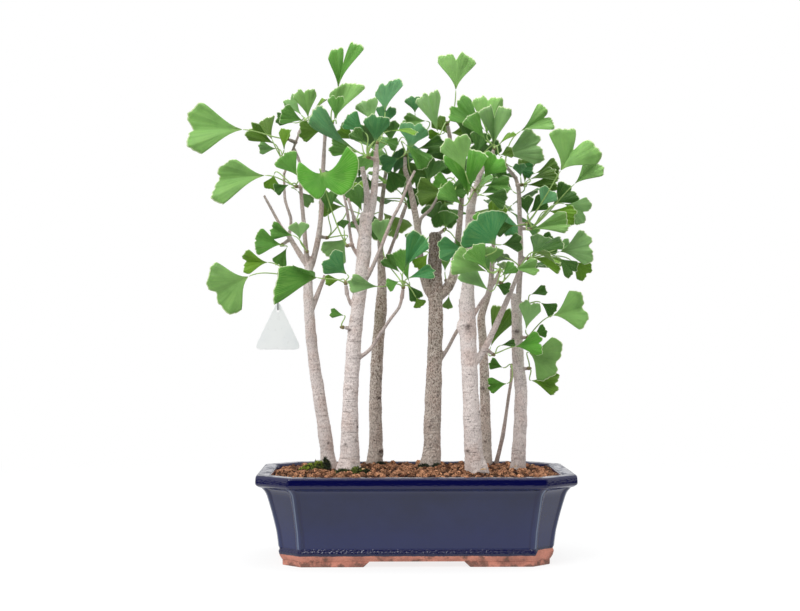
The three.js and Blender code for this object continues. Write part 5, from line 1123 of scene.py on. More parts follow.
class BONSAI_OT_drain_nets(bpy.types.Operator):
    """Makes the plastic nets over the drain holes"""
    bl_idname = "bonsai.drain_nets"
    bl_label = "Drain nets"

    def execute(self, context):
        finish = Finish("net_plastic", Roughness=0.55)
        finish.vary(Base_Color=finish.blend(finish.cloud(300), context.scene.bonsai_pot.net,
                                            linear(62, 64, 66)))
        for side, x in (("left", -DRAIN_X), ("right", DRAIN_X)):
            tree = GrowthTree("net", {"Size": (NET_SIZE - NET_THICKNESS) * MM, "Cells": NET_CELLS,
                                      "Thread": NET_THICKNESS / 2 * MM})
            corners = tree.given("Cells") + 1
            sheet = tree.add("GeometryNodeMeshGrid", inputs={
                "Size X": tree.given("Size"), "Size Y": tree.given("Size"),
                "Vertices X": corners, "Vertices Y": corners})
            threads = tree.add("GeometryNodeMeshToCurve", inputs={"Mesh": sheet})
            round_thread = tree.add("GeometryNodeCurvePrimitiveCircle", inputs={
                "Resolution": 8, "Radius": tree.given("Thread")})
            net = tree.add("GeometryNodeCurveToMesh", inputs={
                "Curve": threads, "Profile Curve": round_thread, "Fill Caps": True})
            place = np.array((x, 0, FLOOR_TOP + PLAY + NET_THICKNESS / 2)) + POT_PLACE
            net = tree.add("GeometryNodeTransform", inputs={
                "Geometry": net, "Translation": tuple(place * MM)})
            tree.end(net, finish.material)
            piece = new_piece(f"drain_net_{side}", bpy.data.meshes.new("net"))
            tree.grow(piece)
            dress(piece, "drain_mesh", f"drain_mesh_{side}")
        return {"FINISHED"}


# -------------------- soil and moss

def soil_height(x, y):
    """Height of the heaped soil, mm."""
    heap = (1 - (x / POT_HALF_WIDTH) ** 4) * (1 - SOIL_FALL * (y / POT_HALF_DEPTH) ** 2)
    return SOIL_EDGE + (SOIL_MIDDLE - SOIL_EDGE) * heap


def soil_finish(settings):
    """Burnt clay granules, each of its own shade, with dark pores. Lower granules are painted darker and
    the bed between them darkest, partly damp soil and partly painted shade in the gaps.
    """
    finish = Finish("soil_granules", Roughness=0.95, Specular_IOR_Level=0.2)
    shade = finish.attribute("shade")
    body = finish.blend(finish.rise(shade, 0.3, 0.85), settings.dark, settings.light)
    reddish = finish.rise(finish.cloud(60), 0.45, 0.7)
    body = finish.blend(reddish * 0.35, body, linear(132, 74, 50))
    pores = finish.rise(finish.cloud(900, detail=4), 0.35, 0.6)
    body = finish.blend(pores, [c * 0.5 for c in settings.dark], body)
    finish.vary(Base_Color=body)
    finish.vary(Normal=finish.bump(finish.cloud(1100, detail=4), 0.0008, 0.9))
    return finish.material


def strew_granules(surface, settings, material):
    """Turns a piece of the soil's top into the granules strewn over it."""
    tree = GrowthTree("granules", {
        "Size": settings.granule, "Spacing": settings.spacing, "Spread": 0.0044, "Sink": 0.0026,
        "Seed": 7})
    seed = tree.given("Seed")
    spots = tree.add("GeometryNodeDistributePointsOnFaces", {"distribute_method": "POISSON"}, {
        "Mesh": tree.given("Geometry"), "Distance Min": tree.given("Spacing"),
        "Density Max": 190000.0, "Seed": seed})
    lift = tree.random(0.0, 1.0, seed + 4)
    raised = tree.add("ShaderNodeCombineXYZ", inputs={
        2: lift * tree.given("Spread") - tree.given("Sink")})
    spots = tree.add("GeometryNodeSetPosition", inputs={"Geometry": spots, "Offset": raised})
    # Lower granules get a darker shade, partly damp soil and partly painted shade in the deeper gaps,
    # with a random tone on top.
    spots = tree.add("GeometryNodeStoreNamedAttribute", {"domain": "POINT"}, {
        "Geometry": spots, "Name": "shade", "Value": lift * 0.5 + tree.random(0.0, 0.5, seed + 3)})
    block = tree.add("GeometryNodeMeshCube", inputs={"Size": (1, 1, 1)})
    lump = tree.add("GeometryNodeSubdivisionSurface", inputs={"Mesh": block, "Level": 1})
    size = tree.random(0.55, 1.35, seed) * tree.given("Size")
    form = tree.random((0.8, 0.8, 0.7), (1.35, 1.2, 1.1), seed + 1)
    scale = tree.add("ShaderNodeVectorMath", {"operation": "SCALE"}, {0: form, "Scale": size})
    strewn = tree.add("GeometryNodeInstanceOnPoints", inputs={
        "Points": spots, "Instance": lump, "Scale": scale,
        "Rotation": tree.random((0, 0, 0), (6.28, 6.28, 6.28), seed + 2)})
    whole = tree.add("GeometryNodeRealizeInstances", inputs={"Geometry": strewn})
    lumps = tree.add("ShaderNodeTexNoise", inputs={"Scale": 330.0, "Detail": 1.0}, output="Color")
    shift = tree.add("ShaderNodeVectorMath", {"operation": "SUBTRACT"}, {
        0: lumps, 1: (0.5, 0.5, 0.5)})
    shift = tree.add("ShaderNodeVectorMath", {"operation": "SCALE"}, {
        0: shift, "Scale": tree.given("Size") * 0.5})
    rough = tree.add("GeometryNodeSetPosition", inputs={"Geometry": whole, "Offset": shift})
    faceted = tree.add("GeometryNodeSetShadeSmooth", inputs={
        "Geometry": rough, "Shade Smooth": False})
    tree.end(faceted, material)
    tree.grow(surface)


class BONSAI_OT_soil(bpy.types.Operator):
    """Makes the soil, with granules strewn all over its top"""
    bl_idname = "bonsai.soil"
    bl_label = "Soil"

    def execute(self, context):
        settings = context.scene.bonsai_soil
        material = soil_finish(settings)
        sink = settings.granule / MM * BED_UNDER
        lowest = FLOOR_TOP + PLAY + NET_THICKNESS + PLAY
        wall = [(inset + PLAY, max(z, lowest)) for inset, z in reversed(INNER_WALL)
                if z < SOIL_TURN[1]]
        wall.append((SOIL_TURN[0] + PLAY, SOIL_TURN[1]))
        rings = [plan_ring(wall[0][0], lowest) * (share, share, 1) for share in (0.02, 0.5)]
        rings += [plan_ring(inset, z) for inset, z in wall]
        edge = plan_ring(SOIL_INSET + PLAY, 0)
        top = []
        for share in SOIL_RINGS:
            ring = edge * (share, share, 1)
            ring[:, 2] = soil_height(ring[:, 0], ring[:, 1]) - sink
            top.append(ring)
        skin = Skin()
        skin.add(*skin_of(rings + top))
        # The bed has no granule shade, so it takes the darkest colour: painted shade in the gaps between
        # the granules.
        bed = skin.piece("soil_bed", [material])
        dress(bed, "soil", "soil")

        surface = Skin()
        surface.add(*skin_of([ring * (0.985, 0.985, 1) for ring in top], closed=False))
        granules = surface.piece("granules", [])
        strew_granules(granules, settings, material)
        dress(granules, "soil")
        return {"FINISHED"}


def moss_finish(settings):
    """Moss that is yellow-green at its tips while fresh, and dark when old, with dark patches of painted
    shade.
    """
    finish = Finish("moss", Roughness=0.85)
    shade = finish.attribute("shade")
    age = finish.attribute("age")
    fresh = 1 - age * 0.85
    green = finish.blend(age, settings.moss, settings.moss_dark)
    green = finish.blend(finish.rise(shade, 0.3, 1) * fresh * 0.5, green, linear(128, 146, 40))
    # Painted shade: dark patches that stand for shaded hollows in the moss.
    shaded_hollows = finish.rise(finish.cloud(300, detail=3), 0.46, 0.54)
    green = finish.blend(shaded_hollows * 0.92, green, linear(20, 26, 14))
    tips = finish.rise(finish.cloud(480), 0.56, 0.66)
    green = finish.blend(tips * fresh * 0.8, green, linear(206, 214, 96))
    finish.vary(Base_Color=green)
    return finish.material


def grow_shoots(cushions, material):
    """Covers the moss cushions with short shoots."""
    tree = GrowthTree("moss_shoots", {"Shoot": 0.0026, "Width": 0.0007, "Seed": 3})
    seed = tree.given("Seed")
    spots = tree.add("GeometryNodeDistributePointsOnFaces", inputs={
        "Mesh": tree.given("Geometry"), "Density": 2400000.0, "Seed": seed})
    turn = Value(tree, spots.socket.node.outputs["Rotation"])
    shoot = tree.add("GeometryNodeMeshCone", inputs={
        "Vertices": 4, "Radius Top": 0.0, "Radius Bottom": tree.given("Width"),
        "Depth": tree.given("Shoot")})
    lean = tree.random((-0.7, -0.7, 0.0), (0.7, 0.7, 6.28), seed + 1)
    turned = tree.add("FunctionNodeRotateRotation", {"rotation_space": "LOCAL"}, {
        0: turn, 1: lean})
    shoots = tree.add("GeometryNodeInstanceOnPoints", inputs={
        "Points": spots, "Instance": shoot, "Rotation": turned,
        "Scale": tree.random(0.5, 1.3, seed + 2)})
    shoots = tree.add("GeometryNodeStoreNamedAttribute", {"domain": "INSTANCE"}, {
        "Geometry": shoots, "Name": "shade", "Value": tree.random(0.0, 1.0, seed + 3)})
    both = tree.tree.nodes.new("GeometryNodeJoinGeometry")
    for part in (tree.given("Geometry"), shoots):
        tree.tree.links.new(part.socket, both.inputs[0])
    tree.end(Value(tree, both.outputs[0]), material)
    tree.grow(cushions)


class BONSAI_OT_moss(bpy.types.Operator):
    """Makes the moss cushions on the soil"""
    bl_idname = "bonsai.moss"
    bl_label = "Moss"

    def execute(self, context):
        material = moss_finish(context.scene.bonsai_soil)
        cushions = Skin()
        ages = []
        angles = 2 * np.pi * np.arange(MOSS_SIDES) / MOSS_SIDES
        for x, y, half_width, half_depth, height, age in MOSS:
            rings = []
            for k in range(MOSS_RINGS):
                up = k / (MOSS_RINGS - 1) * math.pi / 2
                spread = math.cos(up) + 0.03
                ragged = 1 + 0.16 * np.sin(3 * angles + x) + 0.09 * np.sin(7 * angles + y)
                px = x + half_width * spread * ragged * np.cos(angles)
                py = y + half_depth * spread * ragged * np.sin(angles)
                lumps = [noise.noise(Vector((a, b, 2 * k)) / 2.4) for a, b in zip(px, py)]
                uneven = 1 + 0.55 * np.array(lumps)
                pz = soil_height(px, py) - MOSS_SUNK + height * math.sin(up) * uneven
                rings.append(np.c_[px, py, pz])
            cushions.add(*skin_of(rings))
            ages += [age] * (MOSS_RINGS * MOSS_SIDES)
        moss = cushions.piece("moss", [material])
        mark(moss.data, "age", ages)
        grow_shoots(moss, material)
        dress(moss, "moss")
        return {"FINISHED"}


class BONSAI_OT_flakes(bpy.types.Operator):
    """Makes the dry flakes that lie on the soil"""
    bl_idname = "bonsai.flakes"
    bl_label = "Dry flakes"

    def execute(self, context):
        dry = Finish("dry_flakes", Roughness=0.8)
        dry.vary(Base_Color=dry.blend(dry.cloud(400), context.scene.bonsai_soil.straw,
                                      linear(170, 130, 84)))
        flakes = Skin()
        for x, y, length, width, turn in FLAKES:
            along = np.array((math.cos(turn * DEG), math.sin(turn * DEG), 0))
            across = np.array((-along[1], along[0], 0.25))
            rings = []
            for t in np.linspace(0, 1, 9):
                half = width / 2 * math.sin(math.pi * min(0.08 + t * 0.9, 1)) ** 0.7
                middle = np.array((x, y, soil_height(x, y) + FLAKE_LIFT))
                middle += along * length * (t - 0.5)
                middle[2] += FLAKE_ARCH * math.sin(math.pi * t)
                up = np.array((0, 0, FLAKE_HALF_THICKNESS))
                rings.append(np.array([middle - across * half, middle - up,
                                       middle + across * half, middle + up]))
            flakes.add(*skin_of(rings))
        dress(flakes.piece("dry_flakes", [dry.material]), "soil")
        return {"FINISHED"}


# -------------------- stems

def bark_finish(settings):
    """Dusty bark with pits, crests, flecks and scars, coarser on the brown stems. Pits and crests follow
    the bump, darker and paler, partly the bark's own colour and partly painted shade and highlight; the
    top of stem d is painted dark as shade under the crown.
    """
    finish = Finish("ginkgo_bark", Roughness=0.86, Specular_IOR_Level=0.3)
    tone = finish.attribute("tone", "Color")
    scarred_and_shaded = finish.attribute("scar_and_shade")
    sawn = finish.attribute("sawn")
    coarse = finish.attribute("coarse")
    blotch = finish.rise(finish.cloud(55, detail=5), 0.42, 0.68)
    body = finish.blend(blotch * 0.4, tone, linear(206, 172, 158))
    ridges = finish.cloud(760, (1.0, 1.0, 0.7), detail=3, rough=0.7)
    fine = finish.cloud(1300, detail=2)
    # The bump's own pattern colours the bark: its pits and fine dips darker, partly the bark's colour
    # and partly painted shade, its crests paler, partly weathered bark and partly a painted highlight.
    shaded_pits = finish.rise(ridges, 0.5, 0.38)
    body = finish.blend(shaded_pits * (0.26 + coarse * 0.62), body, linear(92, 76, 62))
    lit_crests = finish.rise(ridges, 0.52, 0.62)
    body = finish.blend(lit_crests * (0.35 + coarse * 0.5), body, linear(240, 232, 224))
    body = finish.blend(finish.rise(fine, 0.5, 0.32) * 0.3, body, linear(112, 96, 86))
    algae = finish.rise(finish.cloud(22, (1, 1, 0.4), detail=4), 0.52, 0.72) * coarse
    body = finish.blend(algae * 0.4, body, linear(126, 124, 84))
    washed = finish.rise(finish.height(), *WASHED_LINE) * coarse
    body = finish.blend(washed * 0.34, body, linear(222, 210, 200))
    gate = finish.rise(finish.cloud(75), 0.48, 0.6)
    fleck = finish.rise(finish.cells(210, (0.7, 0.7, 1.5)), 0.2, 0.08) * gate
    ring_marks = finish.rise(finish.cloud(110, (0.4, 0.4, 9), detail=3), 0.6, 0.7)
    body = finish.blend(ring_marks * 0.22, body, settings.scar_and_shade)
    dark = finish.rise(finish.cloud(500), 0.3, 0.6, 0.6, 1)
    body = finish.blend(fleck * 0.6, body, settings.scar_and_shade)
    # Knots, and the painted shade under the crown, take the scar colour.
    body = finish.blend(scarred_and_shaded * dark, body, settings.scar_and_shade)
    body = finish.blend(sawn * 0.9, body, settings.cut)
    earthy = finish.rise(finish.height() + finish.cloud(140) * 0.012, *EARTHY_LINE)
    body = finish.blend(earthy * 0.45, body, linear(120, 92, 74))
    finish.vary(Base_Color=body)
    relief = ridges * (0.6 + coarse * 0.9) + fine * 0.3 - fleck * 0.6 - ring_marks * 0.4
    finish.vary(Normal=finish.bump(relief, 0.0012, 0.9))
    return finish.material


def nearest_wood(points, bones):
    """For each point: its nearest place on the middle lines, and the wood's radius there."""
    best = np.full(len(points), np.inf)
    places = np.zeros_like(points)
    radii = np.zeros(len(points))
    for (*a, ra), (*b, rb) in bones:
        a, b = np.array(a), np.array(b)
        along = b - a
        t = np.clip((points - a) @ along / along.dot(along), 0, 1)
        place = a + t[:, None] * along
        radius = ra + t * (rb - ra)
        gap = np.linalg.norm(points - place, axis=1) - radius
        nearer = gap < best
        best[nearer], places[nearer], radii[nearer] = gap[nearer], place[nearer], radius[nearer]
    return places, radii


def stem_paths(stem):
    """Middle lines of a stem's limbs and spurs, as (x, y, z, radius) points."""
    trunk, *limbs = LIMBS[stem]
    x, y, z, radius = trunk[0]
    below = (x, y, z - STEM_DEPTH, radius)
    paths = [np.vstack([below, smooth_path(trunk, 4)])] + [smooth_path(limb, 3) for limb in limbs]
    for name, (root, tip, _) in SPRAYS.items():
        if name[0] == stem:
            paths.append(smooth_path([(*root, SPUR_RADII[0]), (*tip, SPUR_RADII[1])], 2))
    return paths


def noise_at(points):
    """Smooth noise from -1 to 1 at each point."""
    return np.array([noise.noise(Vector(point)) for point in points])


def bark_relief(stem, settings, points, outward, radii):
    """How far the bark stands out at each point, mm: lumps, rings, grain and root flare."""
    lumps = noise_at(points / LUMPS_APART)
    rings = noise_at(points * RING_NOISE)
    grain = noise_at(points * GRAIN_NOISE)
    uneven = 1.5 * lumps + 0.5 * rings + 0.75 * grain
    relief = settings.relief / MM * uneven * np.clip(radii / 6, 0.3, 1.2)
    foot = LIMBS[stem][0][0]
    turn = np.arctan2(outward[:, 1], outward[:, 0])
    above = np.clip((points[:, 2] - foot[2] + ROOT_START) / ROOT_HEIGHT, 0, 1)
    ribs = 1 + np.sin(ROOT_RIBS * turn + foot[0])
    relief += ROOT_FLARE * foot[3] * (1 - above) ** 2 * ribs * (radii > TRUNK_RADIUS)
    return relief


def add_knots(stem, points, outward, relief):
    """Adds a pit with a rim for each knot. Gives back how scarred each point is, 0 to 1."""
    scar_and_shade = np.zeros(len(points))
    for owner, x, z, size in KNOTS:
        if owner != stem:
            continue
        near = np.hypot(points[:, 0] - x, points[:, 2] - z) / size
        near = np.where(outward[:, 1] < 0.3, near, 9)
        relief += size * (0.2 * np.exp(-((near - 0.9) / 0.45) ** 2)
                          - 0.2 * np.exp(-((near / 0.55) ** 2)))
        scar_and_shade = np.maximum(scar_and_shade, np.exp(-((near / 0.8) ** 2)))
    return scar_and_shade


def grow_stem(stem, settings, material):
    """Wood of one stem: its limbs and spurs run together under one uneven skin."""
    paths = stem_paths(stem)
    skin = Skin()
    for path in paths:
        skin.add(*skin_of(rings_along(path[:, :3], path[:, 3], LIMB_SIDES)))
    wood = skin.piece(f"trunk_{stem}", [material])
    remesh = wood.modifiers.new("one skin", "REMESH")
    remesh.mode, remesh.voxel_size = "VOXEL", settings.detail
    remesh.use_smooth_shade = True
    soften = wood.modifiers.new("soften", "SMOOTH")
    soften.factor, soften.iterations = 0.5, 3
    settle(wood)

    mesh = wood.data
    points = np.zeros(len(mesh.vertices) * 3)
    mesh.vertices.foreach_get("co", points)
    points = points.reshape(-1, 3) / MM - POT_PLACE
    bones = [bone for path in paths for bone in zip(path[:-1], path[1:])]
    places, radii = nearest_wood(points, bones)
    outward = points - places
    distance = np.linalg.norm(outward, axis=1)
    outward /= np.maximum(distance, 0.01)[:, None]
    ended = outward[:, 2] > 0.8

    relief = bark_relief(stem, settings, points, outward, radii)
    scar_and_shade = add_knots(stem, points, outward, relief)
    # Painted shade: a trunk's top under the crown is painted dark with the scar colour.
    if stem in CROWN_SHADE_HEIGHTS:
        low, high = CROWN_SHADE_HEIGHTS[stem]
        risen = np.clip((points[:, 2] - low) / (high - low), 0, 1)
        crown_shade = 0.66 * risen * (radii > TRUNK_RADIUS)
        scar_and_shade = np.maximum(scar_and_shade, crown_shade)
    reach = np.maximum(distance, np.where(ended, distance, radii)) + np.where(ended, 0, relief)
    points = places + outward * reach[:, None]
    mesh.vertices.foreach_set("co", ((points + POT_PLACE) * MM).ravel())

    before, end = np.array(LIMBS[stem][0][-2:])
    up = end[:3] - before[:3]
    up /= np.linalg.norm(up)
    past = (points - end[:3]) @ up
    sawn = ended & (past > -1) & (np.linalg.norm(points - end[:3], axis=1) < end[3] + 0.5)
    pale = stem in PALE_STEMS
    colour = np.array(settings.pale if pale else settings.brown) * BARK_LIGHTNESS.get(stem, 1)
    thin = np.clip((TWIG_RADIUS - radii) / TWIG_BLEND, 0, 1)[:, None]
    mark_colour(mesh, "tone", colour * (1 - thin) + np.array(settings.twig) * thin)
    mark(mesh, "scar_and_shade", scar_and_shade)
    mark(mesh, "coarse", np.clip(radii / 4 - 0.4, 0, 1) * (0.25 if pale else 1))
    mark(mesh, "sawn", sawn.astype(float))
    mesh.polygons.foreach_set("use_smooth", [True] * len(mesh.polygons))
    mesh.update()
    return wood


class BONSAI_OT_stems(bpy.types.Operator):
    """Grows the eight stems with their limbs and spurs"""
    bl_idname = "bonsai.stems"
    bl_label = "Stems"

    def execute(self, context):
        settings = context.scene.bonsai_bark
        material = bark_finish(settings)
        for stem in LIMBS:
            dress(grow_stem(stem, settings, material), "bark", f"stem_{stem}")
        return {"FINISHED"}


# -------------------- leaves

def leaf_finish(settings):
    """Green that follows the veins, with a light line round the margin."""
    finish = Finish(
        "ginkgo_leaf", Roughness=0.42, Specular_IOR_Level=0.18, Subsurface_Weight=0.1,
        Subsurface_Radius=(0.6, 1.0, 0.3), Subsurface_Scale=0.0012)
    blade = finish.add("ShaderNodeUVMap", {"uv_map": "blade"})
    across = finish.add("ShaderNodeSeparateXYZ", inputs={0: blade}, output="X")
    along = finish.add("ShaderNodeSeparateXYZ", inputs={0: blade}, output="Y")
    tint = finish.attribute("tint", "Color")

    def veins(count):
        return finish.rise((across * (2 * math.pi * count)).sine(), 0.2, 1)

    outer = finish.rise(along, 0.4, 0.55)
    vein = veins(settings.veins) * (1 - outer) + veins(2 * settings.veins) * outer
    fibres = finish.add("ShaderNodeCombineXYZ", inputs={0: across * 46, 1: along * 2.2})
    streak = finish.cloud(1.0, detail=3, rough=0.6, vector=fibres)
    patch = finish.cloud(45, detail=3)
    body = finish.blend(finish.rise(streak, 0.35, 0.7) * 0.16, tint, linear(172, 212, 110))
    body = finish.blend(finish.rise(patch, 0.4, 0.7) * 0.32, body, linear(24, 74, 26))
    body = finish.blend(vein * 0.17, body, linear(196, 226, 140))
    throat = finish.rise(along, 0.3, 0.02)
    body = finish.blend(throat * 0.55, body, settings.stalk)
    edge = finish.rise(along, 0.968, 0.986)
    body = finish.blend(edge * 0.75, body, settings.margin)
    finish.vary(Base_Color=body)
    finish.vary(Roughness=finish.rise(streak, 0.2, 0.8, 0.36, 0.52))
    finish.vary(Normal=finish.bump(vein * 0.5 + streak * 0.5, 0.0003, 0.5))
    return finish.material


def stalk_finish(settings):
    """Smooth green stalk, a little mottled."""
    finish = Finish("leaf_stalk", Roughness=0.45)
    mottled = finish.rise(finish.cloud(160), 0.35, 0.7)
    finish.vary(Base_Color=finish.blend(mottled * 0.4, settings.stalk, linear(118, 160, 70)))
    return finish.material


def bud_finish(settings):
    """Small dry scales."""
    finish = Finish("bud", Roughness=0.75)
    scales = finish.rise(finish.cells(700), 0.2, 0.6)
    finish.vary(Base_Color=finish.blend(scales, settings.bud, [c * 0.6 for c in settings.bud]))
    finish.vary(Normal=finish.bump(scales, 0.0004, 0.8))
    return finish.material


class Leaf:
    """One leaf of a spray, from its row in the table."""

    def __init__(self, row, height):
        *rest, phase, tint = row
        x, y, z, heading, lean, roll, length, *form = rest
        spread, notch, fold, skew = form or CROWN_BLADE
        h, e, r = heading * DEG, lean * DEG, roll * DEG
        self.base = np.array((x, y, z), float)
        self.axis = np.array((math.cos(h) * math.cos(e), -math.sin(e), math.sin(h) * math.cos(e)))
        level = np.array((math.sin(h), 0, -math.cos(h)))
        up = np.cross(level, self.axis)
        self.side = level * math.cos(r) + up * math.sin(r)
        self.normal = up * math.cos(r) - level * math.sin(r)
        self.length, self.spread, self.notch, self.fold = length, spread * DEG, notch, fold
        self.skew, self.phase, self.tint, self.height = skew, phase, tint, height

    def margin(self, u):
        """Reach of the margin as a share of the length, for u from -1 to 1 across."""
        cleft = self.notch * np.exp(-((u / CLEFT_WIDTH) ** 2))
        corner = np.maximum(np.abs(u) - CORNER_FROM, 0) / (1 - CORNER_FROM)
        wave = MARGIN_WAVE * np.sin(MARGIN_WAVES * u + self.phase)
        wave += LOBE_DEPTH * (np.abs(np.sin(LOBES * u + self.phase)) - 0.6)
        wave += 0.6 * LOBE_DEPTH * (np.abs(np.sin(SMALL_LOBES * u + 2 * self.phase)) - 0.6)
        wave += TOOTH_DEPTH * np.sin(TEETH * u - self.phase)
        return (1 - ROUND * u * u - CORNER_DROP * corner**2 - cleft + wave) * (1 + self.skew * u)

    def surface(self, u, v):
        """Points of the blade's middle surface, u across and v along."""
        angle = u * self.spread * (1 - WAIST * (1 - v) ** 2)
        reach = v * self.length * self.margin(u)
        wave = SURFACE_WAVE * np.sin(SURFACE_WAVES * u + 2 * self.phase) * v
        crimp = 0.015 * np.sin(17 * u + self.phase) * v**3 + 0.005 * np.sin(38 * u) * v
        rise = reach * (self.fold * np.sqrt(u * u + 0.004) + wave + crimp - DROOP * v)
        return (self.base + (reach * np.cos(angle))[..., None] * self.axis
                + (reach * np.sin(angle))[..., None] * self.side + rise[..., None] * self.normal)

    def stalk(self, tip, grow):
        """The stalk's curve from its own side of the bud to the blade."""
        outward = self.base - tip
        outward -= grow * outward.dot(grow)
        outward /= np.linalg.norm(outward)
        start = tip + grow * BUD_LENGTH * self.height + outward * 0.5
        reach = np.linalg.norm(self.base - start) * STALK_BEND
        leaving = (grow + outward) / np.linalg.norm(grow + outward)
        return start, start + leaving * reach, self.base - self.axis * reach, self.base


def bezier(points, steps):
    """Points on a curve from the first of four points to the last."""
    t = np.linspace(0, 1, steps + 1)[:, None]
    a, b, c, d = points
    return (1 - t) ** 3 * a + 3 * (1 - t) ** 2 * t * b + 3 * (1 - t) * t * t * c + t**3 * d


def add_blade(skin, leaf, tint, settings):
    """A thin blade with an upper and an under side."""
    columns, rows = settings.columns, settings.rows
    if leaf.length < SMALL_BLADE:
        columns, rows = columns * 2 // 3, rows - 1
    u, v = np.meshgrid(np.linspace(-1, 1, columns + 1), np.linspace(0.015, 1, rows + 1) ** 0.9)
    middle = leaf.surface(u, v)
    thick = settings.thickness / MM * (1 + 1.6 * np.clip(1 - v / 0.25, 0, 1)) * (1 - 0.55 * v**6)
    lift = leaf.normal * (thick / 2)[..., None]
    points = np.concatenate([(middle + lift).reshape(-1, 3), (middle - lift).reshape(-1, 3)])
    wide = columns + 1
    under = wide * (rows + 1)
    faces = []
    for j in range(rows):
        for i in range(columns):
            a = j * wide + i
            faces.append((a, a + 1, a + 1 + wide, a + wide))
            faces.append((under + a, under + a + wide, under + a + 1 + wide, under + a + 1))
        left, right = j * wide, j * wide + columns
        faces.append((left, left + wide, under + left + wide, under + left))
        faces.append((right, under + right, under + right + wide, right + wide))
    for i in range(columns):
        far = rows * wide + i
        faces.append((i, under + i, under + i + 1, i + 1))
        faces.append((far, far + 1, under + far + 1, under + far))
    uv = np.c_[(u.ravel() + 1) / 2, v.ravel()]
    tints = np.vstack([np.broadcast_to(tint, (under, 3)),
                       np.broadcast_to(np.array(tint) * 0.85 + 0.03, (under, 3))])
    skin.add(points, faces, BLADE_LOOK, tints, np.vstack([uv, uv]))


def grow_spray(name, settings, materials):
    """A bud and its leaves."""
    root, tip, rows = SPRAYS[name]
    tip = np.array(tip, float)
    grow = tip - np.array(root)
    grow /= np.linalg.norm(grow)
    palette = {
        "B": settings.bright, "L": settings.light, "P": settings.pale, "M": settings.middle,
        "T": settings.teal, "U": settings.bluish, "D": settings.dark, "O": settings.olive,
        "o": settings.dark_olive,
    }
    skin = Skin()
    path = [tip + grow * (PLAY + BUD_LENGTH * t) for t, _ in BUD_SHAPE]
    bud = rings_along(path, [radius for _, radius in BUD_SHAPE], BUD_SIDES)
    skin.add(*skin_of(bud), look=BUD_LOOK)
    for i, row in enumerate(rows):
        height = STALKS_FROM + (STALKS_TO - STALKS_FROM) * (i + 0.5) / len(rows)
        leaf = Leaf(row, height)
        shade = 1 + 0.16 * math.sin(5.1 * leaf.phase + i)
        add_blade(skin, leaf, np.array(palette[leaf.tint]) * shade, settings)
        path = bezier(leaf.stalk(tip, grow), STALK_STEPS)
        radii = settings.stalk_radius / MM * (1 - 0.25 * np.linspace(0, 1, STALK_STEPS + 1))
        radii[-1] *= 0.6
        skin.add(*skin_of(rings_along(path, radii, STALK_SIDES, leaf.side)), look=STALK_LOOK)
    return skin.piece(f"leaves_{name}", materials, tinted=True)


class BONSAI_OT_leaves(bpy.types.Operator):
    """Grows the sprays of leaves, each on its bud"""
    bl_idname = "bonsai.leaves"
    bl_label = "Leaves"

    def execute(self, context):
        settings = context.scene.bonsai_leaf
        materials = [leaf_finish(settings), stalk_finish(settings), bud_finish(settings)]
        for name in SPRAYS:
            dress(grow_spray(name, settings, materials), "leaf", f"spray_{name}")
        return {"FINISHED"}


# -------------------- hang tag

def tag_outline():
    """The tag's rounded triangle, as points (x, height) counter-clockwise, mm."""
    apex = TAG_APEX - TAG_BOTTOM + TAG_CORNER
    corners = np.array([(-TAG_HALF_WIDTH, 0), (TAG_HALF_WIDTH, 0), (0, apex)])
    line = []
    for i, corner in enumerate(corners):
        before, after = corners[i - 1], corners[(i + 1) % 3]
        back = (before - corner) / np.linalg.norm(before - corner)
        ahead = (after - corner) / np.linalg.norm(after - corner)
        start = corner + back * 2 * TAG_CORNER
        end = corner + ahead * 2 * TAG_CORNER
        for t in np.linspace(0, 1, 13):
            line.append((1 - t) ** 2 * start + 2 * t * (1 - t) * corner + t * t * end)
        straight = after - ahead * 2 * TAG_CORNER
        for t in np.linspace(0, 1, 14)[1:-1]:
            line.append(end + (straight - end) * t)
    return np.array(line)


class BONSAI_OT_tag(bpy.types.Operator):
    """Makes the bare hang tag"""
    bl_idname = "bonsai.tag"
    bl_label = "Hang tag"

    def execute(self, context):
        plastic = Finish("tag_plastic", Roughness=0.32)
        worn = plastic.rise(plastic.cloud(55, detail=4), 0.4, 0.75)
        plastic.vary(Base_Color=plastic.blend(worn * 0.5, context.scene.bonsai_tag.plastic,
                                              linear(226, 232, 233)))
        plastic.vary(Roughness=plastic.rise(plastic.cloud(130), 0.3, 0.7, 0.26, 0.42))
        plastic.vary(Normal=plastic.bump(plastic.cloud(30, detail=1), 0.0008, 0.15))
        outline = tag_outline()
        hole_z = TAG_APEX - TAG_BOTTOM - TAG_HOLE_DROP
        angles = np.arctan2(outline[:, 1] - hole_z, outline[:, 0])
        order = np.argsort(angles)
        outline, angles = outline[order], angles[order]
        outward = np.c_[np.cos(angles), np.sin(angles)]
        hole = np.array((0, hole_z)) + TAG_HOLE * outward
        edge = outline - TAG_ROUNDING * outward
        half = TAG_THICKNESS / 2
        rings = []
        for line, y in ((hole, -half), (edge, -half), (outline, -half + TAG_ROUNDING),
                        (outline, half - TAG_ROUNDING), (edge, half), (hole, half), (hole, -half)):
            rings.append(np.c_[line[:, 0] + HANGER[0], np.full(len(line), y + HANGER[1]),
                               line[:, 1] + TAG_BOTTOM])
        skin = Skin()
        skin.add(*skin_of(rings, closed=False))
        tag = skin.piece("hang_tag", [plastic.material])
        weld(tag, turn_outwards=True)
        tag.data.set_sharp_from_angle(angle=40 * DEG)
        dress(tag, "tag", "tag")
        return {"FINISHED"}


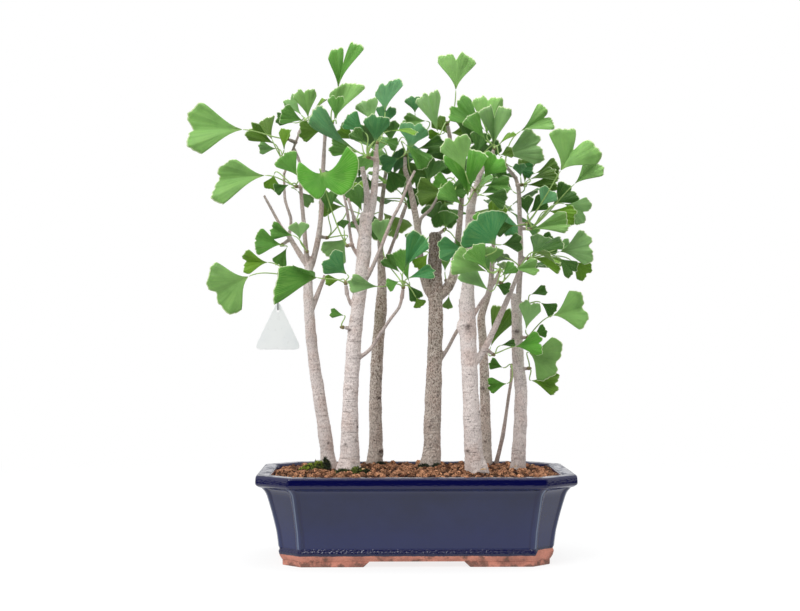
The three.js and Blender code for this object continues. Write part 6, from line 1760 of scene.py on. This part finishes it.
class BONSAI_OT_tag_wire(bpy.types.Operator):
    """Makes the wire loop that holds the tag"""
    bl_idname = "bonsai.tag_wire"
    bl_label = "Tag wire"

    def execute(self, context):
        wire = Finish("wire", Roughness=0.5)
        wire.vary(Base_Color=wire.blend(wire.cloud(500), context.scene.bonsai_tag.wire,
                                        linear(74, 70, 70)))
        top = HANGER[2] + HANGER_RADIUS + PLAY + WIRE_RADIUS
        bottom = TAG_APEX - TAG_HOLE_DROP + 0.5
        loop = []
        for centre, start in ((top - WIRE_BEND, 0), (bottom + WIRE_BEND, math.pi)):
            for angle in start + np.pi * np.arange(13) / 12:
                loop.append((HANGER[0], HANGER[1] + WIRE_BEND * math.cos(angle),
                             centre + WIRE_BEND * math.sin(angle)))
        loop = np.array(loop)
        tangents = np.roll(loop, -1, 0) - np.roll(loop, 1, 0)
        tangents /= np.linalg.norm(tangents, axis=1)[:, None]
        side = np.array((1.0, 0, 0))
        angles = 2 * np.pi * np.arange(WIRE_SIDES) / WIRE_SIDES
        rings = [point + WIRE_RADIUS * (np.outer(np.cos(angles), side)
                                        + np.outer(np.sin(angles), np.cross(tangent, side)))
                 for point, tangent in zip(loop, tangents)]
        bound = Skin()
        bound.add(*skin_of(rings + rings[:1], closed=False))
        piece = bound.piece("tag_wire", [wire.material])
        weld(piece)
        dress(piece, "tag_tie", "tag_tie")
        return {"FINISHED"}


# -------------------- stage

def floor_finish():
    """A pale floor that runs out into white, lit as a backdrop is wherever it is seen."""
    finish = Finish("floor", Roughness=0.7, Specular_IOR_Level=0.1)
    distance = finish.add("ShaderNodeVectorMath", {"operation": "LENGTH"}, {
        0: finish.place()}, output="Value")
    paper = finish.blend(finish.rise(distance, 0.2, 1.2), linear(246, 246, 246),
                         linear(250, 250, 250))
    finish.vary(Base_Color=paper)
    dim, bright = (
        finish.add("ShaderNodeEmission", inputs={"Color": (1, 1, 1, 1), "Strength": strength})
        for strength in (0.08, 1.0))
    seen = finish.add("ShaderNodeLightPath", output="Is Camera Ray")
    lit = seen.larger(finish.rise(distance, 0.9, 0.5))
    glow = finish.add("ShaderNodeMixShader", inputs={0: lit, 1: dim, 2: bright})
    both = finish.add("ShaderNodeMixShader", inputs={
        0: finish.rise(distance, 0.2, 1.2, 0.8, 1.0), 1: Value(finish, finish.shader.outputs[0]),
        2: glow})
    finish.put(finish.tree.nodes["Material Output"].inputs["Surface"], both)
    return finish.material


def studio_room(strength):
    """A pale room that lights the object, and is plain white where it is seen."""
    world = bpy.data.worlds.new("studio")
    world.use_nodes = True
    sky = Nodes(world.node_tree)
    world.node_tree.nodes.remove(world.node_tree.nodes["Background"])
    direction = sky.add("ShaderNodeTexCoord", output="Generated")
    level = None
    for axis, dark, bright in ROOM:
        along = sky.add("ShaderNodeSeparateXYZ", inputs={0: direction}, output=axis)
        share = sky.add("ShaderNodeMapRange", {"interpolation_type": "SMOOTHSTEP"}, {
            "Value": along, "From Min": dark, "From Max": bright, "To Min": 0.03, "To Max": 1.0})
        level = share.larger(level) if level else share
    light = sky.add("ShaderNodeBackground", inputs={
        "Color": (1, 1, 1, 1), "Strength": level * strength})
    white = sky.add("ShaderNodeBackground", inputs={"Color": (1, 1, 1, 1), "Strength": 1.0})
    seen = sky.add("ShaderNodeLightPath", output="Is Camera Ray")
    whole = sky.add("ShaderNodeMixShader", inputs={0: seen, 1: light, 2: white})
    sky.put(world.node_tree.nodes["World Output"].inputs["Surface"], whole)
    return world


class BONSAI_OT_stage(bpy.types.Operator):
    """Sets up the pale floor, the soft light and the camera"""
    bl_idname = "bonsai.stage"
    bl_label = "Stage"

    def execute(self, context):
        settings = context.scene.bonsai_stage
        scene = context.scene
        scene.view_settings.view_transform = "Standard"
        scene.view_settings.look = "None"

        floor = bpy.data.meshes.new("floor")
        shape = bmesh.new()
        bmesh.ops.create_circle(shape, cap_ends=True, segments=96, radius=FLOOR_RADIUS)
        shape.to_mesh(floor)
        shape.free()
        floor.materials.append(floor_finish())
        new_piece("floor", floor)

        scene.world = studio_room(settings.surroundings)
        for name, place, size, share in LAMPS:
            lamp = bpy.data.lights.new(name, "AREA")
            lamp.shape, lamp.size, lamp.energy = "DISK", size, settings.key * share
            light = new_piece(name, lamp)
            light.location = place
            aim = Vector(LAMPS_AIM) - light.location
            light.rotation_euler = aim.to_track_quat("-Z", "Y").to_euler()

        lens = bpy.data.cameras.new("camera")
        lens.lens, lens.sensor_width = settings.focal_length, 36
        camera = new_piece("camera", lens)
        camera.location = settings.camera_place
        camera.rotation_euler = (math.pi / 2 + settings.camera_tilt, 0, -settings.camera_turn)
        scene.camera = camera
        return {"FINISHED"}


class BONSAI_PT_panel(bpy.types.Panel):
    """Lists the steps of the bonsai"""
    bl_idname = "BONSAI_PT_panel"
    bl_label = "Ginkgo bonsai"
    bl_space_type = "VIEW_3D"
    bl_region_type = "UI"
    bl_category = "Bonsai"

    def draw(self, context):
        for step in STEPS:
            self.layout.operator(step.bl_idname)
        for key, group in SETTINGS.items():
            box = self.layout.box()
            for name in group.__annotations__:
                box.prop(getattr(context.scene, key), name)


STEPS = (BONSAI_OT_stage, BONSAI_OT_pot, BONSAI_OT_drain_nets, BONSAI_OT_soil, BONSAI_OT_moss,
         BONSAI_OT_flakes, BONSAI_OT_stems, BONSAI_OT_leaves, BONSAI_OT_tag, BONSAI_OT_tag_wire)


def register():
    for group in SETTINGS.values():
        bpy.utils.register_class(group)
    for key, group in SETTINGS.items():
        setattr(bpy.types.Scene, key, bpy.props.PointerProperty(type=group))
    for step in STEPS:
        bpy.utils.register_class(step)
    bpy.utils.register_class(BONSAI_PT_panel)


def unregister():
    bpy.utils.unregister_class(BONSAI_PT_panel)
    for step in reversed(STEPS):
        bpy.utils.unregister_class(step)
    for key, group in SETTINGS.items():
        delattr(bpy.types.Scene, key)
        bpy.utils.unregister_class(group)


def main():
    """Makes the whole bonsai."""
    register()
    for step in STEPS:
        family, name = step.bl_idname.split(".")
        getattr(getattr(bpy.ops, family), name)()


if __name__ == "__main__":
    main()
